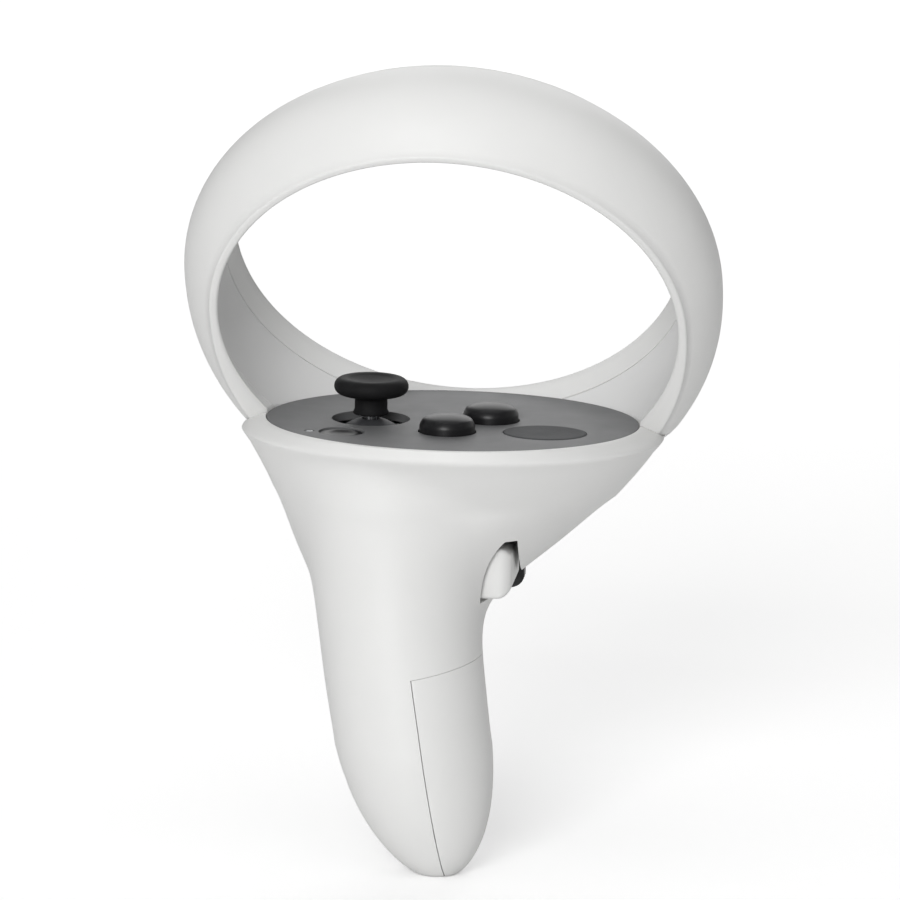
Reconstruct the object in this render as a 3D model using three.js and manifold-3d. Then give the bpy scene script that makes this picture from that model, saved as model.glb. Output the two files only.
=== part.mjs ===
// A left-hand VR motion controller: a tracking ring over a round faceplate on a leaning handle.
//
// Frame: millimetres, +Z up out of the faceplate, +X to the user's right, +Y away from the user.
// Everything is laid out from the centre of the faceplate's top, and the whole group is then
// moved so that its origin is the middle of the hand's grip on the handle.
// "Depth" is the distance below the faceplate's top.

import * as THREE from "three";
import { mergeVertices } from "three/addons/utils/BufferGeometryUtils.js";
import Module from "manifold-3d";

const wasm = await Module();
wasm.setup();

// ---- Driving dimensions ------------------------------------------------------------------

const GAP = 0.3;                     // between pieces that are fixed to each other
const PIVOT_CLEARANCE = 0.1;         // round a small pivot in a plastic ring
const WALL = 1.8;                    // shell of the handle and head
const HIGH = 200;                    // longer than the object, for cutting tools

const PLATE = { halfWidth: 34, front: 28.6, rear: 27.6, thick: 1.6 };
const COLLAR = { halfWidth: 38.7, front: 30.7, rear: 30, depth: 2 };
const LEDGE = { inset: 2.6, top: 1.9, bottom: 4.2 };
const SEAM_DEPTH = 2.2;              // where the ring's shell meets the head

const RING = {
  tilt: 36 * Math.PI / 180,          // how far its axis rises above level
  y: -14.5,
  z: 19.9,                           // centre of the rim nearest the user
  width: 23.5,
  outer: 48.9,                       // radius at the middle of the band
  crown: 24,                         // half-length of the outer spheroid along the axis
  innerNear: 41.6,
  innerMiddle: 44.3,
  innerFar: 40.9,
  rim: 1,                            // width of the rounded rim
  skin: 1.4,
  coverThick: 1.2,
  coverNear: 4,
  coverFar: 19.5,
  bulge: 3.3,                        // how much the lower sides swell out towards the head
  bulgeFrom: 38,                     // degrees below level where the swelling is greatest
  bulgeTo: 80,                       // degrees below level where it has gone
  bulgePower: 1.6,                   // how late the swelling grows
};
const FLEX = { thick: 0.5, near: 8.5, far: 15, lift: 0.45 };
const LEDS = { count: 9, size: 1.8, height: 0.5, first: -5, last: 185 };   // angles in degrees round the ring

const HANDLE = {
  topDepth: 25,
  endDepth: 78.8,
  roundFrom: 50,                     // depth where the end starts to round off
  roundPower: 2.6,
  halfWidth: 15.4,
  widthTaper: 0.03,
  halfDepth: 17.5,
  depthTaper: 0.085,
  x: -8.2,
  leanX: 0.141,
  leanAboveX: 0.6,                   // share of that lean above the bend
  bendX: 0.0013,
  y: -13.5,
  leanY: -0.247,
  leanAboveY: 0.9,
  bendDepth: 33,                     // depth at which x and y are given
};
const GRIP_DEPTH = 48;               // middle of the hand's grip, where the origin lies
const CONE = {
  narrowing: 0.655,
  frontSlope: 0.85,
  rearSlope: 0.7,
  bendX: 0.0095,
  endFrom: 26,
  endLength: 8,
};
const BLEND = { size: 6, grow: 8, least: 0.05 };   // smooth join between the head's volumes
const MIDDLE = { x: -6, y: -4, depth: 28, fade: 14 };   // line that the casing is drawn about

const STICK = {
  x: -14.9,
  y: -1.6,
  pivotDepth: 8,
  capRadius: 6.8,
  capThick: 3.3,
  capMiddle: 6,
  dish: 0.8,                         // depth of the hollow in the cap's top
  neckRadius: 2.7,
  neckFoot: 3.3,
  neckFlare: 1.4,
  foot: 0.9,                         // height of the cap's foot
  holeRadius: 7.1,
  shaftRadius: 1.2,
  shaftSeat: 1.4,                    // how far the shaft reaches into the cap
  skirtRadius: 8.2,
  skirtThick: 0.8,
  skirtSpan: 38,                     // degrees from the skirt's middle to its edge
  housing: 15.4,
  housingTop: 4.2,
  housingBottom: 14,
  housingWall: 0.8,
  housingFloor: 1,
  archClearance: 1.1,                // between the housing's wall and the arch
  archThick: 1,
  archHalfWidth: 2.5,
  archSlot: 3.3,
  gimbalClearance: 0.5,              // between the arch and the gimbal
  gimbalBand: 1.4,
  gimbalHalfHeight: 1,
  crossPin: 0.6,
  stub: 0.7,                         // radius of the gimbal's and arch's pivots
};
const ARCH_RADIUS = STICK.housing / 2 - STICK.housingWall - STICK.archClearance;
const GIMBAL_RADIUS = ARCH_RADIUS - STICK.archThick - STICK.gimbalClearance;
const BUTTON = {
  radius: 5.05,
  side: 1.75,
  crown: 1.45,
  edge: 0.5,
  clearance: 0.4,
  flange: 1,
  flangeThick: 0.9,
};
const STEM = { radius: 1.6, lift: 2.4 };   // under each button, and its foot's height above the board
const DOME = { radius: 2.6, lip: 0.4, shoulder: 1.5, crown: 1.1, corner: 0.3 };
const BUTTON_ROW = { x: 0, y: -10.9, turn: 60.46, between: 1.69 };   // from the lower button, in degrees
const BUTTON_STEP = 2 * (BUTTON.radius + BUTTON.flange) + BUTTON_ROW.between;
const BUTTON_PLACES = {
  lower_button: [BUTTON_ROW.x, BUTTON_ROW.y],
  upper_button: [
    BUTTON_ROW.x + BUTTON_STEP * Math.cos(BUTTON_ROW.turn * Math.PI / 180),
    BUTTON_ROW.y + BUTTON_STEP * Math.sin(BUTTON_ROW.turn * Math.PI / 180),
  ],
};
const MENU = { x: -18.8, y: -14.8, radius: 3.9, sunk: 0.25, flange: 0.8, stem: 1.4 };
const LIGHT = { x: -24.6, y: -15, radius: 0.8, foot: 3.4, sunk: 0.05 };
const REST = { x: 17.6, y: -9.1, halfWidth: 7.5, halfDepth: 6.5, pocket: 0.9, proud: 0.1 };

const BOARD = { top: 6, thick: 1, inset: 4.8 };
const CHIPS = [                      // centre, half-sizes and height of the board's larger chips
  { x: 19.5, y: 15, halfX: 3.5, halfY: 3, high: 1.2 },
  { x: 7, y: 17.5, halfX: 3, halfY: 2.5, high: 1 },
  { x: 19, y: -14, halfX: 3, halfY: 2, high: 1.4 },
];
const FRAME = { top: 8, thick: 1.4, boss: 2, room: 1.2 };
const MOTOR = { x: 9, y: -6, radius: 6, thick: 3.4, cradleWall: 1.2, held: 0.7 };

const TRIGGER = {
  y: 14,
  depth: 10.5,
  left: -10,
  right: 12,
  hubRadius: 3,
  hubLeft: -3,
  hubRight: 5,
  pinRadius: 1,
  pinClearance: 0.06,
  sideClearance: 0.6,
  magnet: 2.8,                       // side of the square pocket for the magnet
  magnetDepth: 4.4,                  // from the pin down to that pocket
};
const EAR = { thick: 2, left: -6, right: 9, length: 5, depth: 13 };
const SENSOR_BOARD = { thick: 1, halfWidth: 2.5, low: 5, back: 1.9 };

const GRIP = {
  near: -14,
  far: 5,
  inner: 3.9,
  outer: 12.4,
  top: 19.8,
  bottom: 30.2,
  corner: 3,
  travel: 3.5,
  pinRadius: 0.9,
  armY: 2.6,
  armX: 1.6,
  armHalfWidth: 1.9,
  armHalfDepth: 2,
  armHalfHeight: 1.3,
  topSlope: 0.1,                     // fall of the paddle's top towards its outer side, in radians
  topCut: 0.15,
};
const GRIP_BRACKET = { thick: 1.2, foot: 2.4, head: 1, halfEar: 1.8, springHalf: 3, relief: 0.4 };
const GRIP_SPRING = { y: -8, radius: 1.9, wire: 0.3, from: 0.1, turns: 3.5 };

const BATTERY = {
  radius: 7.25,
  length: 50.5,
  nubRadius: 2.6,
  nubHeight: 1.3,
  edge: 0.5,
  top: [-9.9, -11.4, -22.2],         // the line that its axis lies on
  foot: [-1.4, -23.1, -69.7],
};
const TRAY = { clearance: 0.3, wall: 1.1, halfSpan: 0.38 * Math.PI, start: 6.6, length: 40.4 };
const CONTACT = { halfWidth: 4, halfDepth: 3.2, thick: 0.4, tailHalf: 1, tail: 4 };
const FOOT_SPRING = { turns: 3, radius: 2.4, endRadius: 4.6, wire: 0.35, length: 2.6 };
const DOOR = { topDepth: 42, seamX: -3.7 };
const LANYARD = {
  depth: 69,
  width: 5,
  height: 5,
  offset: 3.2,
  barRadius: 0.65,
  barEnd: 1.2,
  barSink: 1.05,                     // from the handle's surface to the middle of the bar
  behind: 2.4,
};

const COLOURS = {
  white: { color: 0xe9e9e7, roughness: 0.5, metalness: 0 },
  grey: { color: 0x6f7072, roughness: 0.6, metalness: 0 },
  black: { color: 0x17181a, roughness: 0.5, metalness: 0 },
  rubber: { color: 0x2a2b2d, roughness: 0.85, metalness: 0 },
  steel: { color: 0xb9bcc0, roughness: 0.35, metalness: 1 },
  gold: { color: 0xc9a24a, roughness: 0.35, metalness: 1 },
  board: { color: 0x1d5b3a, roughness: 0.6, metalness: 0.1 },
  amber: { color: 0xb5702a, roughness: 0.5, metalness: 0 },
  battery: { color: 0x35506e, roughness: 0.4, metalness: 0.3 },
  frame: { color: 0x4b4d50, roughness: 0.7, metalness: 0 },
  light: { color: 0xdfe6ea, roughness: 0.2, metalness: 0 },
};

// ---- Small tools -------------------------------------------------------------------------

/** Turns a closed three.js geometry into a solid that can be joined and cut. */
function solidOf(geometry) {
  const plain = new THREE.BufferGeometry();
  plain.setAttribute("position", geometry.getAttribute("position").clone());
  if (geometry.index) {
    plain.setIndex(geometry.index.clone());
  }
  const merged = mergeVertices(plain, 1e-4);
  const mesh = new wasm.Mesh({
    numProp: 3,
    vertProperties: new Float32Array(merged.getAttribute("position").array),
    triVerts: new Uint32Array(merged.index.array),
  });
  mesh.merge();
  return new wasm.Manifold(mesh);
}

/** Turns a solid back into a three.js geometry. */
function geometryOf(solid) {
  const mesh = solid.getMesh();
  const geometry = new THREE.BufferGeometry();
  geometry.setAttribute("position", new THREE.BufferAttribute(mesh.vertProperties, 3));
  geometry.setIndex(new THREE.BufferAttribute(mesh.triVerts, 1));
  geometry.computeVertexNormals();
  return geometry;
}

/** Joins a list of solids. */
function joined(solids) {
  return solids.reduce((sum, next) => sum.add(next));
}

/** Cuts each tool out of a solid. */
function cut(solid, ...tools) {
  return tools.reduce((rest, tool) => rest.subtract(tool), solid);
}

/** A box given by its lowest and highest corners. */
function boxBetween(low, high) {
  const size = high.map((value, axis) => value - low[axis]);
  const geometry = new THREE.BoxGeometry(...size);
  geometry.translate(...low.map((value, axis) => value + size[axis] / 2));
  return solidOf(geometry);
}

/** An upright cylinder between two heights. */
function post(x, y, radius, low, high, sides = 24) {
  const geometry = new THREE.CylinderGeometry(radius, radius, high - low, sides);
  geometry.rotateX(Math.PI / 2);
  geometry.translate(x, y, (low + high) / 2);
  return solidOf(geometry);
}

/** A cylinder along X between two places. */
function rod(y, z, radius, left, right, sides = 20) {
  const geometry = new THREE.CylinderGeometry(radius, radius, right - left, sides);
  geometry.rotateZ(Math.PI / 2);
  geometry.translate((left + right) / 2, y, z);
  return solidOf(geometry);
}

/** An upright solid of revolution from [radius, height] points that start and end on the axis. */
function turned(points, sides = 20) {
  const geometry = new THREE.LatheGeometry(points.map(([r, z]) => new THREE.Vector2(r, z)), sides);
  geometry.rotateX(Math.PI / 2);
  return solidOf(geometry);
}

/** An upright wall whose outline is the faceplate's, moved outwards by a margin. */
function plateOutline(margin, low, high, sides = 28) {
  const middle = (PLATE.rear - PLATE.front) / 2;
  const half = (PLATE.rear + PLATE.front) / 2;
  const shape = new THREE.Shape();
  shape.absellipse(0, middle, PLATE.halfWidth + margin, half + margin, 0, 2 * Math.PI, false, 0);
  const options = { depth: high - low, bevelEnabled: false, curveSegments: sides };
  const geometry = new THREE.ExtrudeGeometry(shape, options);
  geometry.translate(0, 0, low);
  return solidOf(geometry);
}

/** A flat outline in the YZ plane, drawn between two places along X. */
function sideProfile(points, left, right) {
  const shape = new THREE.Shape(points.map(([y, z]) => new THREE.Vector2(y, z)));
  const geometry = new THREE.ExtrudeGeometry(shape, { depth: right - left, bevelEnabled: false });
  const turn = new THREE.Matrix4().makeBasis(
    new THREE.Vector3(0, 1, 0), new THREE.Vector3(0, 0, 1), new THREE.Vector3(1, 0, 0));
  geometry.applyMatrix4(turn);
  geometry.translate(left, 0, 0);
  return solidOf(geometry);
}

/** A round wire along a helix about Z. */
function coil({ turns, radius, endRadius = radius, wire, low, high }) {
  const steps = 10;
  const sides = 4;
  class Helix extends THREE.Curve {
    getPoint(t, target = new THREE.Vector3()) {
      const angle = 2 * Math.PI * turns * t;
      const reach = radius + (endRadius - radius) * t;
      const height = low + wire + (high - low - 2 * wire) * t;
      return target.set(reach * Math.cos(angle), reach * Math.sin(angle), height);
    }
  }
  const section = new THREE.Shape();
  section.absarc(0, 0, wire, 0, 2 * Math.PI, false);
  const options = {
    steps: Math.round(turns * steps),
    curveSegments: sides / 2,
    extrudePath: new Helix(),
    bevelEnabled: false,
  };
  return solidOf(new THREE.ExtrudeGeometry(section, options));
}

/** A mesh with its own material, placed in a group. */
function addMesh(parent, name, solid, look) {
  const mesh = new THREE.Mesh(geometryOf(solid), new THREE.MeshStandardMaterial(COLOURS[look]));
  mesh.name = name;
  parent.add(mesh);
  return mesh;
}

// ---- The outer form of the head and handle --------------------------------------------------

const ringAxis = new THREE.Vector3(0, Math.cos(RING.tilt), Math.sin(RING.tilt));
const ringUp = new THREE.Vector3(0, -Math.sin(RING.tilt), Math.cos(RING.tilt));

/** Radius of the ring's outer spheroid at a distance along its axis. */
function ringOuter(along) {
  const share = (along - RING.width / 2) / RING.crown;
  return RING.outer * Math.sqrt(Math.max(0, 1 - share * share));
}

/** Radius of the ring's hollow inner face at a distance along its axis. */
function ringInner(along) {
  const middle = RING.width / 2;
  const end = along < middle ? RING.innerNear : RING.innerFar;
  const share = (along - middle) / middle;
  return RING.innerMiddle - (RING.innerMiddle - end) * share * share;
}

/** How far the ring's outer face swells at an angle, in radians, above level. */
function ringBulge(angle) {
  const below = -angle * 180 / Math.PI;
  if (below <= 0 || below >= RING.bulgeTo) {
    return 0;
  }
  if (below <= RING.bulgeFrom) {
    return RING.bulge * Math.pow(below / RING.bulgeFrom, RING.bulgePower);
  }
  const fade = (below - RING.bulgeFrom) / (RING.bulgeTo - RING.bulgeFrom);
  return RING.bulge * Math.cos(fade * Math.PI / 2);
}

/** True inside the disc that the ring's outer face encloses. */
function inRingDisc(x, y, z) {
  const along = (y - RING.y) * ringAxis.y + (z - RING.z) * ringAxis.z;
  if (along < 0 || along > RING.width) {
    return false;
  }
  const up = (y - RING.y) * ringUp.y + (z - RING.z) * ringUp.z;
  const angle = Math.atan2(up, Math.abs(x));
  return Math.hypot(x, up) < ringOuter(along) + ringBulge(angle);
}

/** Centre and half-sizes of the handle's section at a depth. */
function handleSection(depth) {
  const below = depth - HANDLE.bendDepth;
  const lower = Math.max(0, below);
  const round = Math.min(1, Math.max(0, depth - HANDLE.roundFrom) / (HANDLE.endDepth - HANDLE.roundFrom));
  const end = Math.sqrt(Math.max(0, 1 - Math.pow(round, HANDLE.roundPower)));
  return {
    x: HANDLE.x + HANDLE.leanX * below * (below > 0 ? 1 : HANDLE.leanAboveX) + HANDLE.bendX * lower * lower,
    y: HANDLE.y + HANDLE.leanY * below * (below > 0 ? 1 : HANDLE.leanAboveY),
    halfWidth: (HANDLE.halfWidth - HANDLE.widthTaper * (depth - HANDLE.topDepth)) * end,
    halfDepth: (HANDLE.halfDepth - HANDLE.depthTaper * (depth - HANDLE.topDepth)) * end,
  };
}

/** Centre and half-sizes of the collar and the tapering head under it at a depth. */
function headSection(depth) {
  const share = Math.min(1, depth / COLLAR.depth);
  const below = Math.max(0, depth - COLLAR.depth);
  const late = Math.min(1, Math.max(0, depth - CONE.endFrom) / CONE.endLength);
  const end = Math.sqrt(Math.max(0, 1 - late * late));
  const lip = LEDGE.inset / 2;
  const front = PLATE.front + lip + (COLLAR.front - PLATE.front - lip) * share - CONE.frontSlope * below;
  const rear = PLATE.rear + lip + (COLLAR.rear - PLATE.rear - lip) * share - CONE.rearSlope * below;
  const side = PLATE.halfWidth + lip / 2 + (COLLAR.halfWidth - PLATE.halfWidth - lip / 2) * share;
  return {
    x: -CONE.bendX * below * below - CONE.bendX * 2 * below,
    y: (rear - front) / 2,
    halfWidth: (side - CONE.narrowing * below) * end,
    halfDepth: (rear + front) / 2 * end,
  };
}

/** Distance from a point to the far side of an elliptical section in a direction. */
function reach(centre, angle, section) {
  const ux = Math.cos(angle) / section.halfWidth;
  const uy = Math.sin(angle) / section.halfDepth;
  const px = (centre.x - section.x) / section.halfWidth;
  const py = (centre.y - section.y) / section.halfDepth;
  const a = ux * ux + uy * uy;
  const b = px * ux + py * uy;
  const c = px * px + py * py - 1;
  const root = b * b - a * c;
  return root > 0 ? Math.max(0, (Math.sqrt(root) - b) / a) : 0;
}

/** Distance from a point to the far side of the ring's disc in a level direction. */
function reachRing(centre, angle, depth) {
  const ux = Math.cos(angle);
  const uy = Math.sin(angle);
  const inside = (far) => inRingDisc(centre.x + ux * far, centre.y + uy * far, -depth);
  let far = COLLAR.halfWidth * 2;
  while (far > 0 && !inside(far)) {
    far -= 1;
  }
  if (far <= 0) {
    return 0;
  }
  let step = 0.5;
  while (step > 0.005) {
    far += inside(far + step) ? step : 0;
    step /= 2;
  }
  return far;
}

/** The larger of two lengths, with a smooth join where they are close. */
function smoothMax(a, b, size) {
  const near = Math.max(0, size - Math.abs(a - b)) / size;
  return Math.max(a, b) + near * near * size / 4;
}

/** A point that lies inside every volume of the head and handle at a depth. */
function sectionMiddle(depth) {
  const share = Math.min(1, depth / MIDDLE.depth);
  const lower = Math.min(1, Math.max(0, depth - MIDDLE.depth) / MIDDLE.fade);
  const handle = handleSection(depth);
  return {
    x: MIDDLE.x * share * (1 - lower) + handle.x * lower,
    y: MIDDLE.y * share * (1 - lower) + handle.y * lower,
  };
}

/** Radius of the casing's outline at a depth and angle, measured from sectionMiddle. */
function outline(depth, angle) {
  const middle = sectionMiddle(depth);
  const softness = Math.min(1, Math.max(BLEND.least, (depth - SEAM_DEPTH) / BLEND.grow)) * BLEND.size;
  const handle = reach(middle, angle, handleSection(depth));
  const head = depth < CONE.endFrom + CONE.endLength ? reach(middle, angle, headSection(depth)) : 0;
  const body = smoothMax(handle, head, softness);
  const ring = reachRing(middle, angle, Math.max(depth, SEAM_DEPTH));
  return depth < SEAM_DEPTH ? body : smoothMax(body, ring, softness);
}

/** The head and handle as one solid between two depths, drawn in by an inset. */
function casingLoft(depths, sides, inset) {
  const geometry = new THREE.CylinderGeometry(1, 1, depths.length - 1, sides, depths.length - 1);
  geometry.rotateX(Math.PI / 2);
  geometry.translate(0, 0, (depths.length - 1) / 2);
  const place = geometry.getAttribute("position");
  for (let i = 0; i < place.count; i += 1) {
    const level = Math.round(depths.length - 1 - place.getZ(i));
    const depth = depths[level];
    const middle = sectionMiddle(depth);
    const angle = Math.atan2(place.getY(i), place.getX(i));
    const share = Math.hypot(place.getX(i), place.getY(i));
    const radius = share < 0.5 ? 0 : Math.max(0.4, outline(depth, angle) - inset);
    place.setXYZ(i, middle.x + radius * Math.cos(angle), middle.y + radius * Math.sin(angle), -depth);
  }
  return solidOf(geometry);
}

const CASING_DEPTHS = [
  0, COLLAR.depth, 4.5, 8, 11.5, 14.5, 18, 22, 26, 30, 33.5, 40, 48, 56, 63, 68, 72, 75, 77, 78.2,
];
const CAVITY_DEPTHS = [LEDGE.bottom, 8, 11.5, 14.5, 18, 22, 26, 30, 34, 44, 56, 64, 70, 74, 76];

const outerForm = casingLoft(CASING_DEPTHS, 38, 0);
const innerForm = casingLoft(CAVITY_DEPTHS, 24, WALL);
const fitForm = casingLoft(CAVITY_DEPTHS, 24, WALL + GAP);

/** The slice of the head's inside between two depths, a gap clear of its wall. */
function cavitySlice(top, bottom) {
  return fitForm.intersect(boxBetween([-HIGH, -HIGH, -bottom], [HIGH, HIGH, -top]));
}

// ---- Ring ------------------------------------------------------------------------------------

const ringFrame = new THREE.Group();
ringFrame.rotation.x = RING.tilt;
ringFrame.position.set(0, RING.y, RING.z);
ringFrame.updateMatrix();

/** Places a solid, given in the faceplate's frame, in the ring's frame. */
function inRing(solid) {
  const geometry = geometryOf(solid);
  geometry.applyMatrix4(new THREE.Matrix4().copy(ringFrame.matrix).invert());
  return solidOf(geometry);
}

/** A band round the ring's axis from a closed list of [radius, along] points. */
function ringBand(points, sides = 48) {
  const closed = [...points, points[0]];
  const geometry = new THREE.LatheGeometry(closed.map(([r, s]) => new THREE.Vector2(r, s)), sides);
  const place = geometry.getAttribute("position");
  for (let i = 0; i < place.count; i += 1) {
    const across = place.getX(i);
    const along = place.getY(i);
    const up = place.getZ(i);
    const radius = Math.hypot(across, up);
    const depth = (radius - ringInner(along)) / (ringOuter(along) - ringInner(along));
    const swell = ringBulge(Math.atan2(up, Math.abs(across))) * Math.min(1, Math.max(0, depth));
    const scale = (radius + swell) / radius;
    place.setXYZ(i, across * scale, along, up * scale);
  }
  return solidOf(geometry);
}

/** Evenly spaced numbers from one value to another, both included. */
function spread(from, to, count) {
  return Array.from({ length: count }, (_, i) => from + (to - from) * i / (count - 1));
}

/** The parts of the head that the ring's pieces have to clear, up to a depth. */
function ringLimits(depth) {
  const below = boxBetween([-HIGH, -HIGH, -HIGH], [HIGH, HIGH, -depth]);
  const recess = plateOutline(GAP, -SEAM_DEPTH - 1, COLLAR.depth);
  return [inRing(below), inRing(recess)];
}

/** Outer shell of the tracking ring, which wraps round both rims. */
function ringOuterShell() {
  const { rim, skin, width, coverNear, coverFar } = RING;
  const outside = spread(rim, width - rim, 7).map((s) => [ringOuter(s), s]);
  const inside = spread(coverFar + GAP, coverNear - GAP, 4).map((s) => [ringOuter(s) - skin, s]);
  const profile = [
    [RING.innerNear, 0],
    [ringOuter(0) - rim, 0],
    ...outside,
    [ringOuter(width) - rim, width],
    [RING.innerFar, width],
    [ringInner(coverFar + GAP), coverFar + GAP],
    ...inside,
    [ringInner(coverNear - GAP), coverNear - GAP],
  ];
  return cut(ringBand(profile), ...ringLimits(SEAM_DEPTH));
}

/** Cover that closes the ring's shell from the inside. */
function ringInnerCover() {
  const { coverNear, coverFar, coverThick } = RING;
  const outside = spread(coverNear, coverFar, 4).map((s) => [ringInner(s) + coverThick, s]);
  const inside = spread(coverFar, coverNear, 5).map((s) => [ringInner(s), s]);
  return cut(ringBand([...outside, ...inside]), ...ringLimits(SEAM_DEPTH / 2));
}

/** Flexible strip with the tracking lights, in the space between shell and cover. */
function ringLedFlex() {
  const { thick, near, far, lift } = FLEX;
  const base = ringInner(RING.width / 2) + RING.coverThick + lift;
  const strip = ringBand([[base + thick, near], [base + thick, far], [base, far], [base, near]], 40);
  const lamps = spread(LEDS.first, LEDS.last, LEDS.count).map((degrees) => {
    const geometry = new THREE.BoxGeometry(LEDS.size, LEDS.size, LEDS.height + thick);
    geometry.rotateY(Math.PI / 2);
    geometry.translate(base + (LEDS.height + thick) / 2, RING.width / 2, 0);
    geometry.rotateY(-degrees * Math.PI / 180);
    return solidOf(geometry);
  });
  const below = boxBetween([-HIGH, -HIGH, -HIGH], [HIGH, HIGH, COLLAR.depth]);
  return cut(joined([strip, ...lamps]), inRing(below));
}

// ---- Handle, battery and door ---------------------------------------------------------------

const batteryTop = new THREE.Vector3(...BATTERY.top);
const batteryFoot = new THREE.Vector3(...BATTERY.foot);
const slideAxis = batteryFoot.clone().sub(batteryTop).normalize();

/** The space of the door: right of its seam and below its top edge, less a margin all round. */
function doorSpace(margin) {
  const seamLean = Math.atan2(slideAxis.x, -slideAxis.z);
  const geometry = new THREE.BoxGeometry(HIGH, HIGH, HIGH);
  geometry.translate(HIGH / 2 - margin, 0, -HIGH / 2 + margin);
  geometry.rotateY(-seamLean);
  geometry.translate(DOOR.seamX, 0, -DOOR.topDepth);
  return solidOf(geometry);
}

/** Everything behind the ring's near rim and above the seam, which belongs to the ring. */
function ringSpace() {
  const geometry = new THREE.BoxGeometry(HIGH, HIGH, HIGH);
  geometry.translate(0, HIGH / 2 - GAP, 0);
  geometry.rotateX(RING.tilt);
  geometry.translate(0, RING.y, RING.z);
  const above = boxBetween([-HIGH, -HIGH, -SEAM_DEPTH - GAP], [HIGH, HIGH, HIGH]);
  return solidOf(geometry).intersect(above);
}

/** Side profile of the well that the trigger hangs and swings in, from the trigger's pin. */
const TRIGGER_WELL = [
  [-5.8, 0.7], [-5.8, -26.5], [20, -33.5], [20, -3.7], [9.4, -3.7], [6.5, -1.9], [4.6, 0.7],
];

/** Moves [y, z] points that are given from the trigger's pin to the faceplate's frame. */
function fromTriggerPin(points) {
  return points.map(([y, z]) => [TRIGGER.y + y, -TRIGGER.depth + z]);
}

/** The trigger's well, between the two cheeks of the head. */
function triggerWell() {
  const { left, right, sideClearance } = TRIGGER;
  return sideProfile(fromTriggerPin(TRIGGER_WELL), left - sideClearance, right + sideClearance);
}

/** The block of the grip paddle, with a rounded outer side. */
function gripBlock() {
  const { inner, outer, top, bottom, corner, near, far } = GRIP;
  const shape = new THREE.Shape();
  shape.moveTo(inner, -bottom);
  shape.lineTo(outer - corner, -bottom);
  shape.absarc(outer - corner, -bottom + corner, corner, -Math.PI / 2, 0, false);
  shape.lineTo(outer, -top - corner);
  shape.absarc(outer - corner, -top - corner, corner, 0, Math.PI / 2, false);
  shape.lineTo(inner, -top);
  const options = { depth: far - near, bevelEnabled: false, curveSegments: 5 };
  const geometry = new THREE.ExtrudeGeometry(shape, options);
  geometry.rotateX(Math.PI / 2);
  geometry.translate(0, far, 0);
  return solidOf(geometry);
}

/** The pocket for the paddle, open towards the user and below the head's right side. */
function gripPocket() {
  const { inner, outer, top, bottom, near, far, travel } = GRIP;
  const margin = 2 * GAP;
  const low = [inner - travel - margin, near - 2 * margin, -bottom - margin];
  const high = [outer + margin + GAP, far + margin, -top + margin];
  return boxBetween(low, high);
}

/** Slot at the foot of the handle where a lanyard is tied. */
function lanyardSlot() {
  const { depth, width, height, offset, behind } = LANYARD;
  const x = handleSection(depth).x - offset;
  const { left, right } = lanyardBarPlace();
  return boxBetween([x - width / 2, (left.y + right.y) / 2 - behind, -depth - height / 2],
    [x + width / 2, HIGH, -depth + height / 2]);
}

/** One-piece shell of the head and handle. */
function handleShell() {
  const throat = plateOutline(-LEDGE.inset, -LEDGE.bottom - 0.1, 1);
  const recess = plateOutline(GAP, -LEDGE.top, 1);
  const hollow = joined([innerForm, throat, recess]);
  const barHole = lanyardRod(LANYARD.barRadius + GAP / 2, GAP);
  return cut(outerForm, hollow, ringSpace(), doorSpace(GAP), triggerWell(), gripPocket(),
    lanyardSlot(), barHole);
}

/** Sliding door over the battery. */
function batteryDoor() {
  return cut(outerForm, innerForm).intersect(doorSpace(0));
}

/** The two ends of the lanyard bar's axis, inside the handle's wall on either side of the slot. */
function lanyardBarPlace() {
  const section = handleSection(LANYARD.depth);
  const half = LANYARD.width / 2 + LANYARD.barEnd;
  const [left, right] = [-half, half].map((side) => {
    const x = section.x - LANYARD.offset + side;
    const share = (x - section.x) / section.halfWidth;
    const surface = section.y + section.halfDepth * Math.sqrt(1 - share * share);
    return new THREE.Vector2(x, surface - LANYARD.barSink);
  });
  return { left, right };
}

/** Bar along the lanyard bar's axis. */
function lanyardRod(radius, longer) {
  const { left, right } = lanyardBarPlace();
  const length = left.distanceTo(right) + 2 * longer;
  const geometry = new THREE.CylinderGeometry(radius, radius, length, 14);
  geometry.rotateZ(Math.PI / 2 + Math.atan2(right.y - left.y, right.x - left.x));
  geometry.translate((left.x + right.x) / 2, (left.y + right.y) / 2, -LANYARD.depth);
  return solidOf(geometry);
}

/** Round cell with its raised positive end up, from its foot at z = 0. */
function battery() {
  const { radius, length, nubRadius, nubHeight, edge } = BATTERY;
  const body = length - nubHeight;
  return turned([
    [0, 0], [radius - edge, 0], [radius, edge], [radius, body - edge], [radius - edge, body],
    [nubRadius, body], [nubRadius, length], [0, length],
  ], 32);
}

/** Half-round cradle on the side away from the door. */
function batteryTray() {
  const inner = BATTERY.radius + TRAY.clearance;
  const outer = inner + TRAY.wall;
  const shape = new THREE.Shape();
  shape.absarc(0, 0, outer, Math.PI - TRAY.halfSpan, Math.PI + TRAY.halfSpan, false);
  shape.absarc(0, 0, inner, Math.PI + TRAY.halfSpan, Math.PI - TRAY.halfSpan, true);
  const options = { depth: TRAY.length, bevelEnabled: false, curveSegments: 7 };
  return solidOf(new THREE.ExtrudeGeometry(shape, options));
}

/** Flat spring plate that touches the cell's raised end. */
function positiveContact() {
  const { halfWidth, halfDepth, thick, tailHalf, tail } = CONTACT;
  const plate = boxBetween([-halfWidth, -halfDepth, 0], [halfWidth, halfDepth, thick]);
  return plate.add(boxBetween([-tailHalf, -halfDepth, 0], [tailHalf, thick - halfDepth, tail]));
}

// ---- Faceplate and controls -------------------------------------------------------------------

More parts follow.
